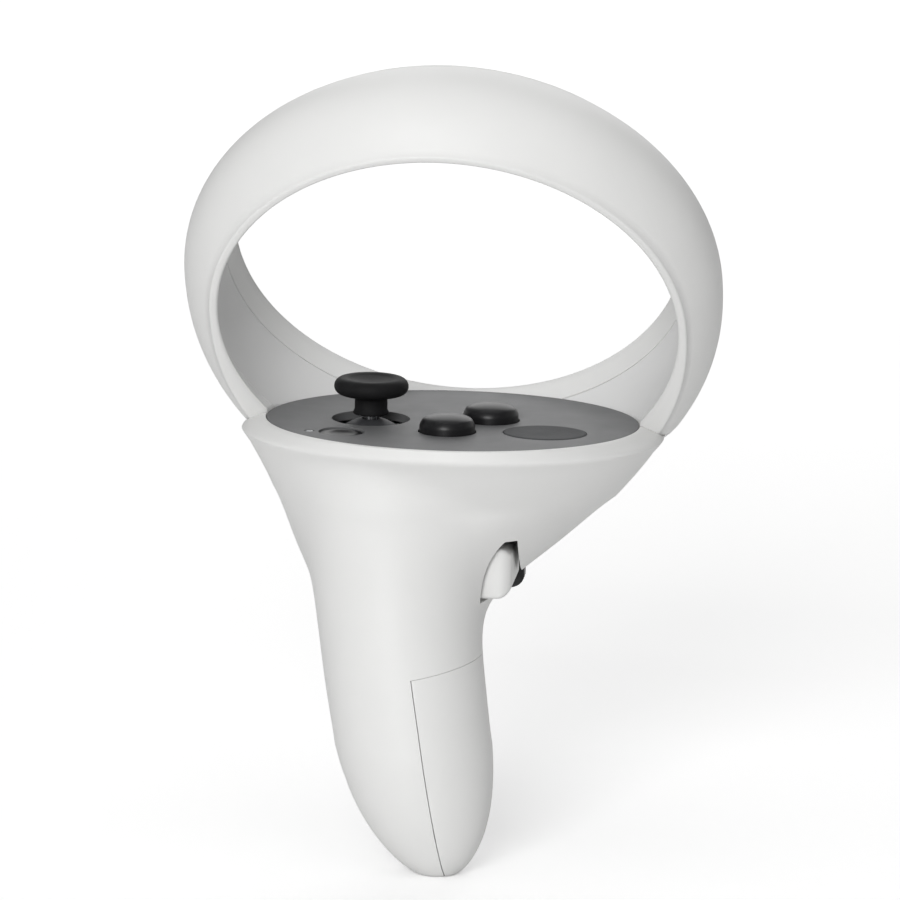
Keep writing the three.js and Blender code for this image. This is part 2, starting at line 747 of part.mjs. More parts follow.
/** Elliptical faceplate with its openings. */
function faceplate() {
  const low = -PLATE.thick;
  const plate = plateOutline(0, low, 0);
  const holes = [
    post(STICK.x, STICK.y, STICK.holeRadius, low - 1, 1, 28),
    post(MENU.x, MENU.y, MENU.radius + BUTTON.clearance, low - 1, 1, 20),
    post(LIGHT.x, LIGHT.y, LIGHT.radius + GAP, low - 1, 1, 12),
  ];
  for (const [x, y] of Object.values(BUTTON_PLACES)) {
    holes.push(post(x, y, BUTTON.radius + BUTTON.clearance, low - 1, 1, 24));
  }
  holes.push(restOval(GAP, -REST.pocket, 1));
  return cut(plate, ...holes);
}

/** Upright oval at the thumb rest. */
function restOval(margin, low, high) {
  const shape = new THREE.Shape();
  const { x, y, halfWidth, halfDepth } = REST;
  shape.absellipse(x, y, halfWidth + margin, halfDepth + margin, 0, 2 * Math.PI, false, 0);
  const options = { depth: high - low, bevelEnabled: false, curveSegments: 14 };
  const geometry = new THREE.ExtrudeGeometry(shape, options);
  geometry.translate(0, 0, low);
  return solidOf(geometry);
}

/** Domed push button with a flange that keeps it under the faceplate. */
function domedButton() {
  const { radius, side, crown, edge, flange, flangeThick } = BUTTON;
  const flangeTop = -PLATE.thick - GAP;
  const flangeLow = flangeTop - flangeThick;
  return turned([
    [0, -BOARD.top + STEM.lift],
    [STEM.radius, -BOARD.top + STEM.lift],
    [STEM.radius, flangeLow],
    [radius + flange, flangeLow],
    [radius + flange, flangeTop],
    [radius, flangeTop],
    [radius, side - edge],
    [radius - edge * 0.6, side],
    [radius * 0.6, side + crown * 0.72],
    [radius * 0.28, side + crown * 0.95],
    [0, side + crown],
  ]);
}

/** Flat menu button, sunk a little into the faceplate. */
function menuButton() {
  const flangeTop = -PLATE.thick - GAP;
  const flangeLow = flangeTop - BUTTON.flangeThick;
  return turned([
    [0, -BOARD.top + STEM.lift],
    [MENU.stem, -BOARD.top + STEM.lift],
    [MENU.stem, flangeLow],
    [MENU.radius + MENU.flange, flangeLow],
    [MENU.radius + MENU.flange, flangeTop],
    [MENU.radius, flangeTop],
    [MENU.radius, -MENU.sunk],
    [0, -MENU.sunk],
  ], 24);
}

/** Rubber dome that pushes a button back up. */
function rubberDome() {
  const { radius, lip, shoulder, crown, corner } = DOME;
  const foot = -BOARD.top + GAP;
  const top = -BOARD.top + STEM.lift - GAP;
  return turned([
    [0, foot], [radius, foot], [radius, foot + lip], [shoulder, top - corner], [crown, top], [0, top],
  ], 16);
}

/** Thumbstick cap with its neck, bored for the shaft. */
function stickCap() {
  const { capRadius, capThick, capMiddle, neckRadius, neckFoot, neckFlare, foot, dish } = STICK;
  const { shaftRadius, shaftSeat } = STICK;
  const low = capMiddle - capThick / 2;
  const high = capMiddle + capThick / 2;
  const edge = capThick / 2;
  const rim = spread(-90, 90, 5).map((degrees) => {
    const turn = degrees * Math.PI / 180;
    return [capRadius - edge + edge * Math.cos(turn), capMiddle + edge * Math.sin(turn)];
  });
  const cap = turned([
    [0, foot],
    [neckFoot, foot],
    [neckRadius, foot + neckFlare],
    [neckRadius, low - GAP],
    ...rim,
    [capRadius * 0.55, high - dish / 2],
    [0, high - dish],
  ], 24);
  return cut(cap, post(0, 0, shaftRadius + GAP, -1, low + shaftSeat, 20));
}

/** Dome-shaped skirt that closes the stick's hole, given about the stick's pivot. */
function stickSkirt() {
  const outer = STICK.skirtRadius;
  const inner = outer - STICK.skirtThick;
  const from = Math.asin((STICK.shaftRadius + GAP) / inner);
  const to = STICK.skirtSpan * Math.PI / 180;
  const arc = (radius, a, b) => spread(a, b, 5).map((t) => [radius * Math.sin(t), radius * Math.cos(t)]);
  const profile = [...arc(inner, from, to), ...arc(outer, to, from)];
  profile.push(profile[0]);
  return turned(profile, 24);
}

/** Shaft of the stick, given about its pivot, with the cross pin that sits in the gimbal. */
function stickShaft() {
  const { pivotDepth, capMiddle, capThick, shaftSeat, shaftRadius } = STICK;
  const { gimbalBand, crossPin } = STICK;
  const top = pivotDepth + capMiddle - capThick / 2 + shaftSeat - 2 * GAP;
  const reach = GIMBAL_RADIUS - gimbalBand / 2;
  return post(0, 0, shaftRadius, -gimbalBand, top, 16).add(rod(0, 0, crossPin, -reach, reach, 12));
}

/** Gimbal ring that turns about Y in the housing, given about the pivot. */
function stickGimbal() {
  const { gimbalBand, gimbalHalfHeight, stub, crossPin, housing } = STICK;
  const inner = GIMBAL_RADIUS - gimbalBand;
  const ring = cut(post(0, 0, GIMBAL_RADIUS, -gimbalHalfHeight, gimbalHalfHeight, 20),
    post(0, 0, inner, -2 * gimbalHalfHeight, 2 * gimbalHalfHeight, 20));
  const root = GIMBAL_RADIUS - gimbalBand / 3;
  const pivot = new THREE.CylinderGeometry(stub, stub, housing / 2 - root, 12);
  const reach = (housing / 2 + root) / 2;
  const pivots = [-1, 1].map((side) => solidOf(pivot.clone().translate(0, side * reach, 0)));
  const bore = rod(0, 0, crossPin + PIVOT_CLEARANCE, -GIMBAL_RADIUS - 1, GIMBAL_RADIUS + 1, 12);
  return cut(joined([ring, ...pivots]), bore);
}

/** Slotted arch that turns about X in the housing, given about the pivot. */
function stickArch() {
  const { archThick, archHalfWidth, archSlot, shaftRadius, stub, housing } = STICK;
  const outer = ARCH_RADIUS;
  const inner = outer - archThick;
  const shape = new THREE.Shape();
  const past = 0.2;
  shape.absarc(0, 0, outer, -past, Math.PI + past, false);
  shape.absarc(0, 0, inner, Math.PI + past, -past, true);
  const options = { depth: 2 * archHalfWidth, bevelEnabled: false, curveSegments: 10 };
  const geometry = new THREE.ExtrudeGeometry(shape, options);
  geometry.translate(0, 0, -archHalfWidth);
  geometry.rotateX(Math.PI / 2);
  const slot = boxBetween([-archSlot, -shaftRadius - GAP, 0], [archSlot, shaftRadius + GAP, HIGH]);
  const pivots = [-1, 1].map((side) => {
    const ends = [side * (outer - archThick / 2), side * housing / 2].sort((a, b) => a - b);
    return rod(0, 0, stub, ends[0], ends[1], 12);
  });
  return cut(joined([solidOf(geometry), ...pivots]), slot);
}

/** Open-topped housing of the stick module, given about the pivot. */
function stickHousing() {
  const half = STICK.housing / 2;
  const inner = half - STICK.housingWall;
  const low = STICK.pivotDepth - STICK.housingBottom;
  const high = STICK.pivotDepth - STICK.housingTop;
  const body = boxBetween([-half, -half, low], [half, half, high]);
  const hollow = boxBetween([-inner, -inner, low + STICK.housingFloor], [inner, inner, high + 1]);
  const bore = STICK.stub + GAP;
  const across = new THREE.CylinderGeometry(bore, bore, 2 * half + 2, 14);
  return cut(body, hollow, rod(0, 0, bore, -half - 1, half + 1, 14), solidOf(across));
}

// ---- Electronics and frame --------------------------------------------------------------------

/** The square hole that the stick module passes through. */
function stickWell() {
  const half = STICK.housing / 2 + GAP;
  return boxBetween([STICK.x - half, STICK.y - half, -HIGH], [STICK.x + half, STICK.y + half, HIGH]);
}

const BOARD_SCREWS = [[20, 6], [-6, 17], [5, -18.5]];
const FRAME_SCREWS = [[-26, 8], [25, -2]];
const SCREW = {
  head: 1.7,
  headThick: 0.8,
  shank: 0.8,
  point: 0.6,
  boardLength: 5.2,
  frameLength: 3.6,
  slotLength: 1.2,                   // half-length of each arm of the cross slot
  slotHalfWidth: 0.2,
  slotDepth: 0.5,
};

/** Upright cross-slotted screw with a flat head, its head's top at z = 0. */
function screw(length) {
  const { head, headThick, shank, point, slotLength, slotHalfWidth, slotDepth } = SCREW;
  const body = turned([
    [0, -length], [shank / 2, -length], [shank, -length + point], [shank, -headThick],
    [head, -headThick], [head, 0], [0, 0],
  ], 10);
  return cut(body,
    boxBetween([-slotLength, -slotHalfWidth, -slotDepth], [slotLength, slotHalfWidth, 1]),
    boxBetween([-slotHalfWidth, -slotLength, -slotDepth], [slotHalfWidth, slotLength, 1]));
}

/** Holes for the screws in a layer. */
function screwHoles(places) {
  return places.map(([x, y]) => post(x, y, SCREW.shank + GAP, -HIGH, 0, 12));
}

/** Main circuit board under the faceplate, with its larger chips. */
function circuitBoard() {
  const base = cavitySlice(BOARD.top, BOARD.top + BOARD.thick);
  const trim = plateOutline(-BOARD.inset, -HIGH, HIGH);
  const heads = FRAME_SCREWS.map(([x, y]) => post(x, y, SCREW.head + GAP, -HIGH, 0, 14));
  const chips = CHIPS.map(({ x, y, halfX, halfY, high }) => boxBetween(
    [x - halfX, y - halfY, -BOARD.top - BOARD.thick / 2], [x + halfX, y + halfY, -BOARD.top + high]));
  return cut(joined([base.intersect(trim), ...chips]), stickWell(), ...heads, ...screwHoles(BOARD_SCREWS));
}

/** Frame that carries the board and, on two ears, the trigger's pin. */
function innerFrame() {
  const bottom = FRAME.top + FRAME.thick;
  const plate = cavitySlice(FRAME.top, bottom);
  const { y, depth, hubRadius, pinRadius } = TRIGGER;
  const opening = boxBetween([EAR.left + EAR.thick, y - hubRadius - FRAME.room, -HIGH],
    [EAR.right, y + hubRadius + 3 * FRAME.room, HIGH]);
  const ears = [EAR.left, EAR.right].map((left) => boxBetween(
    [left, y - EAR.length / 2, -EAR.depth],
    [left + EAR.thick, y + EAR.length / 2, -FRAME.top - FRAME.thick / 2]));
  const bore = rod(y, -depth, pinRadius + GAP / 2, EAR.left - 1, EAR.right + EAR.thick + 1);
  const bosses = BOARD_SCREWS.map(
    ([x, by]) => post(x, by, FRAME.boss, -bottom, -BOARD.top - BOARD.thick - GAP, 14));
  return cut(joined([plate.subtract(opening), ...ears, ...bosses]), stickWell(), bore,
    ...screwHoles(BOARD_SCREWS), ...screwHoles(FRAME_SCREWS));
}

/** Round vibration motor. */
function hapticMotor() {
  const top = -FRAME.top - FRAME.thick - GAP - MOTOR.cradleWall;
  return post(MOTOR.x, MOTOR.y, MOTOR.radius, top - MOTOR.thick, top, 32);
}

/** Cup that holds the vibration motor under the frame. */
function motorCradle() {
  const top = -FRAME.top - FRAME.thick - GAP;
  const low = top - MOTOR.cradleWall - MOTOR.thick * MOTOR.held;
  const inner = MOTOR.radius + GAP;
  const cup = post(MOTOR.x, MOTOR.y, inner + MOTOR.cradleWall, low, top, 32);
  return cut(cup, post(MOTOR.x, MOTOR.y, inner, low - 1, top - MOTOR.cradleWall + GAP, 32));
}

// ---- Trigger ------------------------------------------------------------------------------------

/** Points on the trigger's finger face, on its back and on its neck, as [y, z] from its pin. */
const TRIGGER_FACE = [[8.4, -4.5], [6.3, -8.5], [5.4, -13], [6, -17.5], [7.8, -21.9], [9.4, -24.1]];
const TRIGGER_BACK = [[7.2, -25.3], [3.8, -21], [1.4, -16], [-0.6, -10.5], [-1.8, -6.5]];
const TRIGGER_NECK = [[6.6, -5.1], [5, -8.5], [-1, -8.5]];

/** The trigger, a wide curved blade on a narrow hub. */
function trigger() {
  const curve = new THREE.CatmullRomCurve3(TRIGGER_FACE.map(([y, z]) => new THREE.Vector3(y, z, 0)));
  const face = curve.getPoints(10).map((point) => [point.x, point.y]);
  const hub = spread(-150, -390, 9).map((degrees) => degrees * Math.PI / 180)
    .map((turn) => [TRIGGER.hubRadius * Math.cos(turn), TRIGGER.hubRadius * Math.sin(turn)]);
  const { left, right, hubLeft, hubRight, y, depth, pinRadius, pinClearance, magnet, magnetDepth } = TRIGGER;
  const blade = sideProfile(fromTriggerPin([...face, ...TRIGGER_BACK]), left, right);
  const neck = sideProfile(fromTriggerPin([...hub, ...TRIGGER_NECK]), hubLeft, hubRight);
  const bore = rod(y, -depth, pinRadius + pinClearance, left, right, 24);
  const pocket = boxBetween([hubLeft - 1, y - magnet / 2, -depth - magnetDepth - magnet],
    [hubLeft + magnet / 2, y + magnet / 2, -depth - magnetDepth]);
  return cut(joined([blade, neck]), bore, pocket);
}

/** Steel pin that the trigger turns on. */
function triggerPin() {
  const { y, depth, pinRadius } = TRIGGER;
  return rod(y, -depth, pinRadius, EAR.left - 0.5, EAR.right + EAR.thick + 0.5, 24);
}

/** Magnet in the side of the trigger's hub, read by a sensor. */
function triggerMagnet() {
  const { y, depth, hubLeft, magnet, magnetDepth } = TRIGGER;
  const low = [hubLeft - GAP, y - magnet / 2 + GAP, -depth - magnetDepth - magnet + GAP];
  const high = [hubLeft + magnet / 2 - GAP, y + magnet / 2 - GAP, -depth - magnetDepth - GAP];
  return boxBetween(low, high);
}

/** Twisted return spring round the pin, beside the hub, given about the pin along Z. */
function triggerSpring() {
  return coil({
    turns: 3,
    radius: TRIGGER.pinRadius + 2.5 * GAP,
    wire: GAP,
    low: TRIGGER.hubRight + GAP,
    high: EAR.right - GAP,
  });
}

/** Small board with the sensor that reads the trigger's magnet, hung in front of the hub's swing. */
function triggerSensorBoard() {
  const { y, depth, hubRadius } = TRIGGER;
  const { thick, halfWidth, low, back } = SENSOR_BOARD;
  const far = y - hubRadius - back;
  const top = -FRAME.top - FRAME.thick - GAP;
  return boxBetween([EAR.left + GAP, far - thick, -depth - low], [EAR.left + 2 * halfWidth, far, top]);
}

// ---- Grip paddle --------------------------------------------------------------------------------

/** The grip paddle with the arm that reaches its pin. */
function gripButton() {
  const { armX, armY, armHalfWidth, armHalfDepth, armHalfHeight, top, bottom, inner, pinRadius } = GRIP;
  const middle = -(top + bottom) / 2;
  const arm = boxBetween([armX - armHalfWidth, armY - armHalfDepth, middle - armHalfHeight],
    [inner + 1, armY + armHalfDepth, middle + armHalfHeight]);
  const bore = post(armX, armY, pinRadius + TRIGGER.pinClearance, -HIGH, 0, 24);
  const slope = new THREE.BoxGeometry(HIGH, HIGH, HIGH);
  slope.translate(0, 0, HIGH / 2);
  slope.rotateY(GRIP.topSlope);
  slope.translate(inner, 0, -top - GRIP.topCut);
  return cut(joined([gripBlock(), arm]), bore, solidOf(slope));
}

/** Steel pin of the grip paddle. */
function gripPin() {
  const { armX, armY, top, bottom, pinRadius } = GRIP;
  return post(armX, armY, pinRadius, -bottom + 2 * GAP, -top - 2 * GAP, 20);
}

/** Coil spring that pushes the paddle out, along Z from its seat. */
function gripSpring() {
  const { turns, radius, wire, from } = GRIP_SPRING;
  return coil({ turns, radius, wire, low: from, high: GRIP.inner - GAP });
}

/** Bracket inside the handle with the pin's two ears and the spring's seat. */
function gripBracket() {
  const { armX, armY, armHalfWidth, armHalfDepth, armHalfHeight, top, bottom, pinRadius, inner } = GRIP;
  const { thick, foot, head, halfEar, springHalf, relief } = GRIP_BRACKET;
  const right = GRIP_SPRING.from - GAP;
  const low = -bottom + foot;
  const high = -top - head;
  const web = boxBetween([right - thick, GRIP_SPRING.y - springHalf, low], [right, armY + halfEar, high]);
  const middle = -(top + bottom) / 2;
  const ears = [low, high - thick].map((ledge) =>
    boxBetween([right - thick / 2, armY - halfEar, ledge], [armX + halfEar, armY + halfEar, ledge + thick]));
  const window = boxBetween(
    [armX - armHalfWidth - 2 * relief, armY - armHalfDepth - relief, middle - armHalfHeight - relief],
    [inner + relief, armY + armHalfDepth + 2 * relief, middle + armHalfHeight + relief]);
  return cut(joined([cut(web, window), ...ears]), post(armX, armY, pinRadius + GAP / 2, -HIGH, 0, 20));
}

// ---- Assembly -----------------------------------------------------------------------------------

const controller = new THREE.Group();
controller.name = "motion_controller";
const gripOrigin = handleSection(GRIP_DEPTH);
controller.position.set(-gripOrigin.x, -gripOrigin.y, GRIP_DEPTH);

controller.add(ringFrame);
addMesh(ringFrame, "ring_outer_shell", ringOuterShell(), "white");
addMesh(ringFrame, "ring_inner_cover", ringInnerCover(), "white");
addMesh(ringFrame, "ring_led_flex", ringLedFlex(), "amber");

addMesh(controller, "handle_shell", handleShell(), "white");
addMesh(controller, "battery_door", batteryDoor(), "white");
addMesh(controller, "lanyard_bar", lanyardRod(LANYARD.barRadius, 0), "steel");

const cellFrame = new THREE.Group();
cellFrame.position.copy(batteryFoot);
cellFrame.quaternion.setFromUnitVectors(new THREE.Vector3(0, 0, 1), slideAxis.clone().negate());
controller.add(cellFrame);
addMesh(cellFrame, "aa_battery", battery(), "battery");
addMesh(cellFrame, "battery_tray", batteryTray(), "frame").position.z = TRAY.start;
addMesh(cellFrame, "positive_contact", positiveContact(), "gold").position.z = BATTERY.length + GAP;
const footSpring = coil({ ...FOOT_SPRING, low: -GAP - FOOT_SPRING.length, high: -GAP });
addMesh(cellFrame, "negative_spring", footSpring, "steel");

addMesh(controller, "faceplate", faceplate(), "grey");
addMesh(controller, "thumb_rest_pad", restOval(0, -REST.pocket + GAP, REST.proud), "rubber");
const lightPipe = post(LIGHT.x, LIGHT.y, LIGHT.radius, -LIGHT.foot, -LIGHT.sunk, 12);
addMesh(controller, "status_light", lightPipe, "light");

for (const [name, [x, y]] of Object.entries(BUTTON_PLACES)) {
  addMesh(controller, name, domedButton(), "black").position.set(x, y, 0);
  addMesh(controller, `${name}_dome`, rubberDome(), "rubber").position.set(x, y, 0);
}
addMesh(controller, "menu_button", menuButton(), "black").position.set(MENU.x, MENU.y, 0);
addMesh(controller, "menu_button_dome", rubberDome(), "rubber").position.set(MENU.x, MENU.y, 0);

const stickFrame = new THREE.Group();
stickFrame.position.set(STICK.x, STICK.y, -STICK.pivotDepth);
controller.add(stickFrame);
addMesh(stickFrame, "stick_housing", stickHousing(), "steel");
addMesh(stickFrame, "stick_gimbal", stickGimbal(), "black");
addMesh(stickFrame, "stick_arch", stickArch(), "black");
addMesh(stickFrame, "stick_shaft", stickShaft(), "steel");
addMesh(stickFrame, "stick_skirt", stickSkirt(), "black");
addMesh(stickFrame, "stick_cap", stickCap(), "rubber").position.z = STICK.pivotDepth;

addMesh(controller, "main_circuit_board", circuitBoard(), "board");
addMesh(controller, "inner_frame", innerFrame(), "frame");
addMesh(controller, "haptic_motor", hapticMotor(), "steel");
addMesh(controller, "haptic_cradle", motorCradle(), "rubber");
BOARD_SCREWS.forEach(([x, y], i) => {
  const height = -BOARD.top + GAP + SCREW.headThick;
  addMesh(controller, `board_screw_${i + 1}`, screw(SCREW.boardLength), "steel").position.set(x, y, height);
});
FRAME_SCREWS.forEach(([x, y], i) => {
  const height = -FRAME.top + GAP + SCREW.headThick;
  addMesh(controller, `frame_screw_${i + 1}`, screw(SCREW.frameLength), "steel").position.set(x, y, height);
});

addMesh(controller, "trigger", trigger(), "black");
addMesh(controller, "trigger_pin", triggerPin(), "steel");
addMesh(controller, "trigger_magnet", triggerMagnet(), "steel");
addMesh(controller, "trigger_sensor_board", triggerSensorBoard(), "board");
const springMesh = addMesh(controller, "trigger_spring", triggerSpring(), "steel");
springMesh.rotation.y = Math.PI / 2;
springMesh.position.set(0, TRIGGER.y, -TRIGGER.depth);

addMesh(controller, "grip_button", gripButton(), "white");
addMesh(controller, "grip_pin", gripPin(), "steel");
addMesh(controller, "grip_bracket", gripBracket(), "frame");
const gripSpringMesh = addMesh(controller, "grip_spring", gripSpring(), "steel");
gripSpringMesh.rotation.y = Math.PI / 2;
gripSpringMesh.position.set(0, GRIP_SPRING.y, -(GRIP.top + GRIP.bottom) / 2);

export default controller;
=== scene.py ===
"""Looks of a left-hand VR motion controller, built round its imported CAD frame.

Shapes are worked out in millimetres from the centre of the faceplate's top, with +Z up out of the
plate, +X to the user's right and +Y away from the user. "Depth" is the distance below the plate.
Each finished mesh is then put in the frame's own place, in metres.
"""

import logging
import math
from dataclasses import dataclass, field
from enum import Enum
from typing import Callable, Iterable, Optional, Sequence

import bmesh
import bpy
from bmesh.types import BMEdge, BMesh, BMVert
from mathutils import Matrix, Vector


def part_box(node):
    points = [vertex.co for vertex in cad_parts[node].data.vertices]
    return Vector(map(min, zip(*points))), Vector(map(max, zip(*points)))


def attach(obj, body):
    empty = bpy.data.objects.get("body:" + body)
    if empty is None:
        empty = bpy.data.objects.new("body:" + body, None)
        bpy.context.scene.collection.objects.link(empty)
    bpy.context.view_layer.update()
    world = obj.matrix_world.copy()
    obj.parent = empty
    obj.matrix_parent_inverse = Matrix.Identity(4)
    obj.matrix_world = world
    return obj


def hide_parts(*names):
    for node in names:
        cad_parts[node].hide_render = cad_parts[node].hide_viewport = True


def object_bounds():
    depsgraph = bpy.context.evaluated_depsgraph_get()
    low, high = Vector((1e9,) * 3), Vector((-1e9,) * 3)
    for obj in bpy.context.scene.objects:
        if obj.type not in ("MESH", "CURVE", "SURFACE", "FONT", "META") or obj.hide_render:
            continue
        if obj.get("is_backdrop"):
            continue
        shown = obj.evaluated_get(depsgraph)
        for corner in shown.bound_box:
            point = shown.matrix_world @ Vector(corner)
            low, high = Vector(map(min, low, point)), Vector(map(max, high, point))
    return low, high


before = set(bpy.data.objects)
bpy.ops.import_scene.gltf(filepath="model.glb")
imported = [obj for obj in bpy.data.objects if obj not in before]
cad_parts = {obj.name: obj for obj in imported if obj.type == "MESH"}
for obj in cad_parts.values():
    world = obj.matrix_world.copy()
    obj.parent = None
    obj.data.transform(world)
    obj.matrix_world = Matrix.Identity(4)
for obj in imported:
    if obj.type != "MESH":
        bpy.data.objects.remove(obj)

LOG = logging.getLogger("controller")
MM = 0.001
HIGH = 200.0
HAIRLINE = 0.07
ALONG_CELL = "along_cell"
BARE_STEEL = "bare_steel"

Point = tuple[float, float]
Colour = tuple[float, float, float]


# ---- Mesh tools ---------------------------------------------------------------------------------


class Carve(Enum):
    """Ways in which one solid works on another."""

    CUT = "DIFFERENCE"
    KEEP = "INTERSECT"
    JOIN = "UNION"


class Axis(Enum):
    """Directions that a profile is turned about or pushed along."""

    X = (1.0, 0.0, 0.0)
    Y = (0.0, 1.0, 0.0)
    Z = (0.0, 0.0, 1.0)


def spread(start: float, end: float, count: int) -> list[float]:
    """Gives evenly spaced numbers.

    Args:
        start: The first number.
        end: The last number.
        count: How many, both ends included.

    Returns:
        The numbers in order.
    """
    return [start + (end - start) * i / (count - 1) for i in range(count)]


def clamp(value: float, low: float = 0.0, high: float = 1.0) -> float:
    """Holds a value between two limits."""
    return max(low, min(high, value))


def arc(centre: Point, radius: float, start: float, end: float, count: int) -> list[Point]:
    """Gives points along a round stretch of a profile.

    Args:
        centre: The arc's centre.
        radius: Its radius.
        start: The first angle in degrees.
        end: The last angle in degrees.
        count: How many points.

    Returns:
        The points in order.
    """
    turns = [math.radians(angle) for angle in spread(start, end, count)]
    return [(centre[0] + radius * math.cos(t), centre[1] + radius * math.sin(t)) for t in turns]


def path_edges(bm: BMesh, points: Sequence[Vector], closed: bool) -> list[BMEdge]:
    """Draws a line of edges through points.

    Args:
        bm: The mesh to draw in.
        points: Places of the vertices in order.
        closed: Whether the last point joins the first.

    Returns:
        The new edges.
    """
    verts = [bm.verts.new(point) for point in points]
    pairs = list(zip(verts, verts[1:]))
    if closed:
        pairs.append((verts[-1], verts[0]))
    return [bm.edges.new(pair) for pair in pairs]


def tidy(bm: BMesh, merge: float = 0.002) -> BMesh:
    """Merges doubled vertices and turns every face outwards."""
    bmesh.ops.remove_doubles(bm, verts=bm.verts[:], dist=merge)
    bmesh.ops.recalc_face_normals(bm, faces=bm.faces[:])
    return bm


def turned(points: Sequence[Point], steps: int = 64, closed: bool = False) -> BMesh:
    """Turns a profile about Z.

    Args:
        points: (radius, height) points; an open profile starts and ends on the axis.
        steps: Sides of the full turn.
        closed: Whether the profile closes on itself.

    Returns:
        The closed solid.
    """
    bm = bmesh.new()
    edges = path_edges(bm, [Vector((r, 0.0, z)) for r, z in points], closed)
    bmesh.ops.spin(bm, geom=bm.verts[:] + edges, cent=(0, 0, 0), axis=(0, 0, 1), dvec=(0, 0, 0),
                   angle=math.tau, steps=steps, use_merge=True, use_duplicate=False)
    return tidy(bm)


def pushed(points: Sequence[Vector], move: Vector) -> BMesh:
    """Pushes a flat closed outline along a straight line.

    Args:
        points: The outline's corners in order.
        move: How far and which way it is pushed.

    Returns:
        The closed solid.
    """
    bm = bmesh.new()
    face = bm.faces.new([bm.verts.new(point) for point in points])
    made = bmesh.ops.extrude_face_region(bm, geom=[face], use_keep_orig=True)["geom"]
    bmesh.ops.translate(bm, verts=[item for item in made if isinstance(item, BMVert)], vec=move)
    return tidy(bm)


def side_profile(points: Sequence[Point], left: float, right: float) -> BMesh:
    """Pushes an outline drawn as (y, z) points from one place to another along X."""
    return pushed([Vector((left, y, z)) for y, z in points], Vector((right - left, 0, 0)))


def upright_to(direction: Vector) -> Matrix:
    """Gives the turn that lays the Z axis along a direction."""
    return Vector((0, 0, 1)).rotation_difference(direction).to_matrix().to_4x4()


def box_between(low: Sequence[float], high: Sequence[float]) -> BMesh:
    """Makes a box from its lowest and highest corners."""
    bm = bmesh.new()
    bmesh.ops.create_cube(bm, size=1.0)
    size = Vector(high) - Vector(low)
    middle = (Vector(high) + Vector(low)) / 2
    bmesh.ops.transform(bm, matrix=Matrix.Translation(middle) @ Matrix.Diagonal(size.to_4d()),
                        verts=bm.verts[:])
    return bm


def rod(axis: Axis, centre: Sequence[float], radius: float, start: float, end: float,
        sides: int = 32) -> BMesh:
    """Makes a plain round bar along an axis.

    Args:
        axis: The direction that it lies along.
        centre: A point on its axis.
        radius: Its radius.
        start: Where it starts along the axis, from the centre.
        end: Where it ends.
        sides: How many sides it is drawn with.

    Returns:
        The closed solid.
    """
    bm = bmesh.new()
    bmesh.ops.create_cone(bm, cap_ends=True, segments=sides, radius1=radius, radius2=radius,
                          depth=end - start)
    turn = upright_to(Vector(axis.value))
    place = Vector(centre) + Vector(axis.value) * (start + end) / 2
    bmesh.ops.transform(bm, matrix=Matrix.Translation(place) @ turn, verts=bm.verts[:])
    return bm


def oval(x: float, y: float, half_x: float, half_y: float, low: float, high: float,
         sides: int = 96) -> BMesh:
    """Makes an upright solid with an elliptical outline."""
    bm = rod(Axis.Z, (0, 0, 0), 1.0, low, high, sides)
    matrix = Matrix.Translation((x, y, 0)) @ Matrix.Diagonal((half_x, half_y, 1, 1))
    bmesh.ops.transform(bm, matrix=matrix, verts=bm.verts[:])
    return bm


@dataclass(frozen=True)
class Coil:
    """Sizes of a wire spring; the radii are the winding's at its foot and top, and the wire's."""

    turns: float
    radius: float
    wire: float
    length: float
    end_radius: float
    steps_a_turn: int = 28


def wire_coil(coil: Coil) -> BMesh:
    """Winds a round wire about Z, from height 0.

    Args:
        coil: The spring's sizes; its length has the wire in it.

    Returns:
        The closed solid.
    """
    turns, radius, wire, length = coil.turns, coil.radius, coil.wire, coil.length
    bm = bmesh.new()
    made = bmesh.ops.create_circle(bm, cap_ends=True, segments=10, radius=wire)
    stand = Matrix.Translation((radius, 0, wire)) @ Matrix.Rotation(math.pi / 2, 4, "X")
    bmesh.ops.transform(bm, matrix=stand, verts=made["verts"])
    steps = round(turns * coil.steps_a_turn)
    rise = Vector((0, 0, (length - 2 * wire) / steps))
    bmesh.ops.spin(bm, geom=bm.verts[:] + bm.edges[:] + bm.faces[:], cent=(0, 0, 0), axis=(0, 0, 1),
                   dvec=rise, angle=turns * math.tau, steps=steps, use_merge=False)
    for vert in bm.verts:
        across = math.hypot(vert.co.x, vert.co.y)
        grow = (coil.end_radius - radius) * clamp((vert.co.z - wire) / (length - 2 * wire))
        vert.co.x *= (across + grow) / across
        vert.co.y *= (across + grow) / across
    return tidy(bm)


def moved(bm: BMesh, matrix: Matrix) -> BMesh:
    """Moves or turns a whole mesh."""
    bmesh.ops.transform(bm, matrix=matrix, verts=bm.verts[:])
    return bm


def lying_coil(coil: Coil, start: Sequence[float]) -> BMesh:
    """Winds a spring along X from a point."""
    return moved(wire_coil(coil), Matrix.Translation(start) @ Matrix.Rotation(math.pi / 2, 4, "Y"))


def loose_object(bm: BMesh, name: str) -> bpy.types.Object:
    """Puts a mesh in the scene as a plain object."""
    mesh = bpy.data.meshes.new(name)
    bm.to_mesh(mesh)
    bm.free()
    item = bpy.data.objects.new(name, mesh)
    bpy.context.scene.collection.objects.link(item)
    return item


